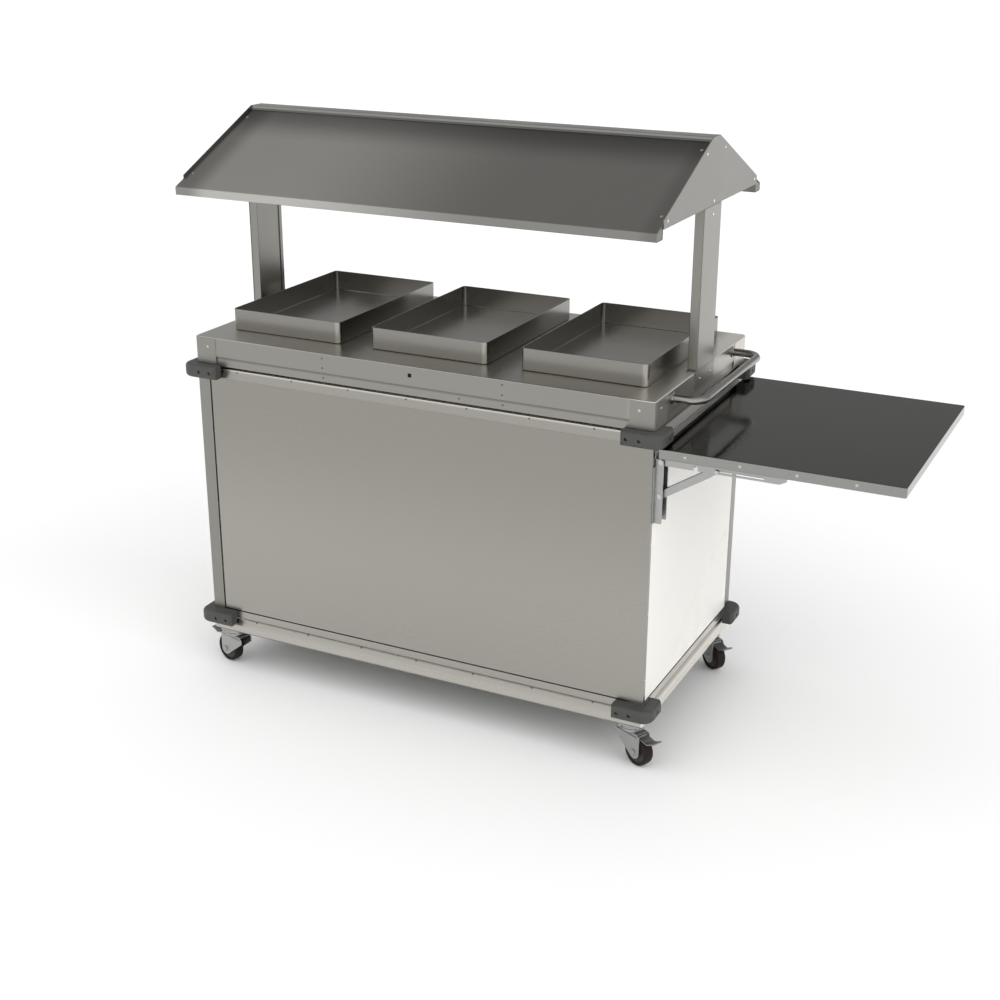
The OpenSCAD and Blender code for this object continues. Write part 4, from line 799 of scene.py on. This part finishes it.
def makeArm(y):
    # Two walls under a web. A hairline slit joins the slot's outline to the top edge, to make one loop
    b, k = bracketLook, armLook
    (px, pz), top, end, q, n = b["pivot"], k["under"], k["end"], k["slotR"], k["notchR"]
    s0, s1 = px + k["slot"][0], px + k["slot"][1]
    low, nx, slit, far = pz - k["below"], px + b["pitch"], (s0 + s1) / 2, (s0 + s1) / 2 + k["slit"]
    outline = np.concatenate([
        [(end, top), (end, pz), (end - k["endCut"], low), (nx + n, low)], arc(nx, pz, n, 0, 180),
        [(nx - n, low)], arc(px, pz, k["below"], -90, -180),
        [(px - k["below"], top), (slit, top), (slit, pz + q)], arc(s0, pz, q, 90, 270),
        arc(s1, pz, q, -90, 90), [(far, pz + q), (far, top)]])
    a, t = k["half"], k["wall"]
    web = oblong(px - k["below"], y - a, end, y + a)
    return twoWalls(outline, y, a, t) + [extrude(web, top - t, top, alongZ)]


def makeBracket(side):
    b = bracketLook
    y, (px, pz) = side * b["y"], b["pivot"]
    pins = [pin for z in (pz, pz - b["pitch"]) for pin in rivetedPin(px, z, b["pin"], legLook["half"], y)]
    studs = rivetedPin(px + armLook["slot"][0], pz - b["studDrop"], b["stud"], armLook["half"], y)[1:]
    return makeLeg(y), makeArm(y), pins, studs


def makeStrut(side, name):
    # Strut: a channel open below, two walls with rounded ends joined by a folded web, turned up to the slot
    b, k = bracketLook, strutLook
    long, h, e, w, t = k["long"], k["deep"], k["endR"], k["half"], k["wall"]
    taper = long - k["taper"]
    wall = np.concatenate([arc(0, 0, h, 90, 270, 12), [(taper, -h)], arc(long, 0, e, -90, 90, 10),
                           [(taper, h)]])
    c, s = math.cos(math.radians(k["up"])), math.sin(math.radians(k["up"]))
    px, pz = b["pivot"][0], b["pivot"][1] - b["pitch"]

    def place(u, v, d):
        return np.stack([px + u * c - v * s, side * b["y"] + d + 0 * u, pz + u * s + v * c], -1)

    parts = twoWalls(wall, 0, w, t, place)
    parts.append(bentSheet([(-t, h), (taper, h), (long, e)], 0.004, -t, t / 2 - w, w - t / 2, place))
    parts.append(revolve(k["pin"], facing("y", px + long * c, side * b["y"], pz + long * s), 20))
    piece(name + "Strut", parts, "zinc", (name + "_strut",), name + "_strut", edge=k["soft"])


makeHandle()
makeShelf()
legs, arms, pins, studs = [sum(group, []) for group in zip(makeBracket(-1), makeBracket(1))]
piece("bracketLegs", legs, "zinc", ("bracket_legs",), edge=legLook["soft"])
piece("bracketArms", arms, "zinc", ("bracket_arms",), "end_shelf")
headPiece("bracketPins", pins, "head", ("bracket_pins",))
headPiece("catchStuds", studs, "head", ("catch_studs",), "end_shelf")
makeStrut(-1, "front")
makeStrut(1, "rear")
print("stage: the handle, end shelf and brackets are made")

casterLook = {"place": (0.572, 0.278), "turns": (164, -26, 160, -35), "trail": 0.025, "wheelR": 0.0375}
# (radius, height) lines. The wheel's are half sections, mirrored into full ones
wheelLook = {
    "tyreSide": ((0.0285, 0.0098), (0.0296, 0.0125), (0.0306, 0.0133), (0.0318, 0.0135), (0.0335, 0.0132)),
    "shoulder": (0.0335, 0.0036, 0.009, 0.0042), "tread": ((0.0374, 0.0055), (0.0375, 0.003)),
    "hub": ((0.0037, 0.015), (0.0098, 0.015), (0.0104, 0.0144), (0.0106, 0.0132), (0.0122, 0.0128),
        (0.0132, 0.0104), (0.017, 0.0096), (0.025, 0.0096), (0.0272, 0.0106), (0.029, 0.0108))}
forkLook = {"half": 0.018, "sheet": 0.0025, "top": 0.087, "crown": 0.042, "shoulder": 0.45,
    "bridgeIn": 0.006, "soft": 0.0004,
    "race": ((0.012, 0.086), (0.0255, 0.0868), (0.0272, 0.0876), (0.028, 0.089), (0.028, 0.093),
        (0.0273, 0.0942), (0.0262, 0.0945), (0.012, 0.0945)),
    "bolt": ((0.0098, 0.0), (0.0098, 0.0007), (0.009, 0.001), (0.0088, 0.001)),
    "head": ((0.0066, 0.0008), (0.007, 0.001), (0.007, 0.0034), (0.0062, 0.004)), "axle": 0.0039}
pedalLook = {"pin": (0.034, 0.079), "down": 14, "up": 24, "long": (0.03, 0.022), "thick": 0.003,
    "pressed": 0.85, "half": 0.0145, "bend": 0.012, "toeR": 0.0024, "ridges": (0.25, 0.5, 0.75),
    "ridgeR": 0.0009, "ridgeIn": 0.002, "barrel": 0.004, "pinR": 0.0024, "soft": 0.0003}
plateLook = {"half": 0.029, "z": (0.102, 0.106), "corner": 0.006, "boltIn": 0.023,
    "race": ((0.016, 0.0948), (0.0262, 0.0948), (0.0274, 0.0954), (0.028, 0.0966), (0.0276, 0.101),
        (0.0262, 0.1022), (0.012, 0.1022)), "bolt": ((0.004, 0.098), (0.0045, 0.0984), (0.0045, 0.102)),
    "kingpin": ((0.007, 0.0811), (0.008, 0.0816), (0.008, 0.0842), (0.005, 0.0842), (0.005, 0.098))}
# Turned parts of a wheel lie round the axle
wheelPlace = facing("y", casterLook["trail"], 0, casterLook["wheelR"])


def makeWheelParts():
    # The tyre's shoulder is the quarter ellipse (r0 + a sin t, w0 + b cos t)
    k = wheelLook
    t = np.radians(np.linspace(15, 90, 6))
    r0, a, w0, b = k["shoulder"]
    side = [*k["tyreSide"], *zip(r0 + a * np.sin(t), w0 + b * np.cos(t)), *k["tread"]]
    tyre, hub = [np.array([*half, *((q, -v) for q, v in half[::-1])]) for half in (side, k["hub"])]
    return revolve(tyre, wheelPlace, 56, ring=True), revolve(hub, wheelPlace, 40, ring=True)


def makeForkParts():
    # Fork: a folded bridge over the wheel and two cheeks cut to a leaning outline, with bosses, bolt and race
    k, x, r = forkLook, casterLook["trail"], casterLook["wheelR"]
    top, q, out, t = k["top"], k["crown"], k["half"], k["sheet"]
    toe, shoulder = q - x, top - q * k["shoulder"]
    reach, drop = x + q, shoulder - r
    lean = math.atan2(drop, reach) + math.asin(toe / math.hypot(reach, drop))
    outer = roundPath([(q, r), (q, top - 0.003), (-q, top - 0.003), (-q, shoulder),
                       (x - toe * math.sin(lean), r - toe * math.cos(lean))], (0, 0.006, 0.006, 0.007, 0), 5)
    cheek = np.concatenate([arc(x, r, toe, 270 - math.degrees(lean), 360, 12), outer[1:-1]])
    bridge, half = [(-out, top - 0.01), (-out, top), (out, top), (out, top - 0.01)], q - k["bridgeIn"]
    parts = twoWalls(cheek, 0, out, t)
    parts.append(bentSheet(bridge, 0.0045, -t, -half, half, alongX, 6))
    parts.append(revolve(k["race"], alongZ, 48))
    for side in (-1, 1):
        put = facing("y", x, side * out, r, side)
        parts += [revolve(k["bolt"], put, 32), revolve(k["head"], put, 6)]
    parts.append(revolve([(k["axle"], -out), (k["axle"], out)], wheelPlace, 16))
    return parts


def makePedalParts():
    # Pedal: a bent plate with a rolled toe, three grip ridges across it and its pin through the fork
    k = pedalLook
    a, b, t, w, (l0, l1) = math.radians(k["down"]), math.radians(k["up"]), k["thick"], k["half"], k["long"]
    bend = np.array([l0 * math.cos(a), -l0 * math.sin(a)])
    toe = bend + np.array([l1 * math.cos(b), l1 * math.sin(b)])
    lift = np.array((0, t / 2))
    put = facing("y", k["pin"][0], 0, k["pin"][1])
    parts = [bentSheet([lift, bend + lift, toe + lift], k["bend"], -t * k["pressed"], -w, w, put, 6)]
    rods = [(toe, k["toeR"], 16, w)]
    rods += [(bend + (toe - bend) * share + lift, k["ridgeR"], 8, w - k["ridgeIn"]) for share in k["ridges"]]
    rods += [((0, 0), k["barrel"], 18, w), ((0, 0), k["pinR"], 14, forkLook["half"])]
    return parts + [extrude(arc(*middle, r, 0, 360, steps)[:-1], -half, half, put)
                    for middle, r, steps, half in rods]


def makePlateParts():
    # Top plate with its bolts, the fixed half of the race and the kingpin's head
    k = plateLook
    z0, z1 = k["z"]
    slab = roundPath([(0.02, z0), (0, z0), (0, z1), (0.02, z1)], 0.0008, 3)
    parts = [loops(k["half"], k["half"], k["corner"], slab, alongZ), revolve(k["race"], alongZ, 48)]
    places = [facing("z", x * k["boltIn"], y * k["boltIn"]) for x in (-1, 1) for y in (-1, 1)]
    return parts + [revolve(k["bolt"], place, 6) for place in places] + [revolve(k["kingpin"], alongZ, 24)]


def makeCasters():
    k = casterLook
    tyre, hub = makeWheelParts()
    forkParts, pedalParts, plateParts, plates = makeForkParts(), makePedalParts(), makePlateParts(), []
    for i, name in enumerate(("front_left", "front_right", "rear_left", "rear_right")):
        x, y = (-1, 1)[i % 2] * k["place"][0], (-1, 1)[i // 2] * k["place"][1]
        turn = standing(x, y, k["turns"][i])
        side, end = name.split("_")
        word = side + end.capitalize()
        piece(word + "Tyre", [moved(tyre, turn)], "tyre", (name + "_wheel",), name + "_wheel")
        piece(word + "Hub", [moved(hub, turn)], "hub", (), name + "_wheel")
        piece(word + "Fork", [moved(p, turn) for p in forkParts], "zinc", (name + "_fork",), name + "_swivel",
              edge=forkLook["soft"])
        piece(word + "Pedal", [moved(p, turn) for p in pedalParts], "pedal", (name + "_brake",),
              name + "_brake", edge=pedalLook["soft"])
        plates += [moved(p, standing(x, y)) for p in plateParts]
    piece("casterPlates", plates, "zinc", ("caster_plates",))


makeCasters()
print("stage: the casters are made")

doorLook = {"x": (0.0015, 0.572), "z": (0.177, 0.809), "face": 0.315, "deep": 0.02, "hem": 0.018,
    "frame": 0.042, "press": 0.0016, "sheet": 0.002, "slant": 0.004, "innerFrame": 0.036, "reach": 0.06,
    "corner": 0.002, "outerFolds": (0, 0.002, 0.002, 0.0022, 0.0018, 0),
    "innerFolds": (0, 0.0008, 0.0008, 0.002, 0)}
pullLook = {"x": 0.0415, "z": (0.498, 0.616), "out": 0.024, "radius": 0.005, "bend": 0.012,
    "rose": ((0.008, -0.0003), (0.008, 0.0012), (0.0072, 0.002), (0.004, 0.0022))}


def makeDoors():
    # Each door is a tray whose face steps in to a shallow pressed field; its hems turn back from the edges
    d, p = doorLook, pullLook
    (x0, x1), (z0, z1), t, deep, press, face = d["x"], d["z"], d["sheet"], d["deep"], d["press"], d["face"]
    outer = roundPath([(d["reach"], -press), (d["frame"] + d["slant"], -press), (d["frame"], 0), (0, 0),
                       (0, -deep), (d["hem"], -deep)], d["outerFolds"])
    inner = roundPath([(d["hem"], t - deep), (t, t - deep), (t, -t), (d["innerFrame"], -t),
                       (d["reach"], -t - press)], d["innerFolds"])
    section = np.concatenate([outer, inner])
    bar = barLine(face, face + p["out"], *p["z"], p["bend"], 8)
    for side, name in ((-1, "left"), (1, "right")):
        place = facing("y", side * (x0 + x1) / 2, face, (z0 + z1) / 2)
        tray = loops((x1 - x0) / 2, (z1 - z0) / 2, d["corner"], section, place)
        piece(name + "Door", [tray], "door", (name + "_door",), name + "_door")
        path = np.column_stack([np.full(len(bar), side * p["x"]), bar])
        feet = [revolve(p["rose"], facing("y", side * p["x"], face, z), 28) for z in p["z"]]
        piece(name + "DoorPull", [tube(path, p["radius"], (1, 0, 0))] + feet, "tube", (name + "_door_pull",),
              name + "_door")


screwLook = {"radius": 0.0038, "dent": 0.0014, "height": 0.0028, "z": (0.8294, 0.153),
    "front": ((0.554, 0.34), (0.585, 0.34)), "end": (0.634, 0.295)}


def makeBumperScrews():
    # Domed heads with a dented middle at the bottom of the bumpers' recesses
    k, heads = screwLook, []
    for z in k["z"]:
        for sx in (-1, 1):
            for sy in (-1, 1):
                rows = [("y", x, y, sy) for x, y in k["front"]] + [("x", *k["end"], sx)]
                heads += [dome(axis, k["radius"], (sx * x, sy * y, z), way, k["dent"], k["height"])
                          for axis, x, y, way in rows]
    headPiece("bumperScrewHeads", heads, "darkHead", ("bumper_screws",))


makeDoors()
makeBumperScrews()
print("stage: the doors and screws are made")
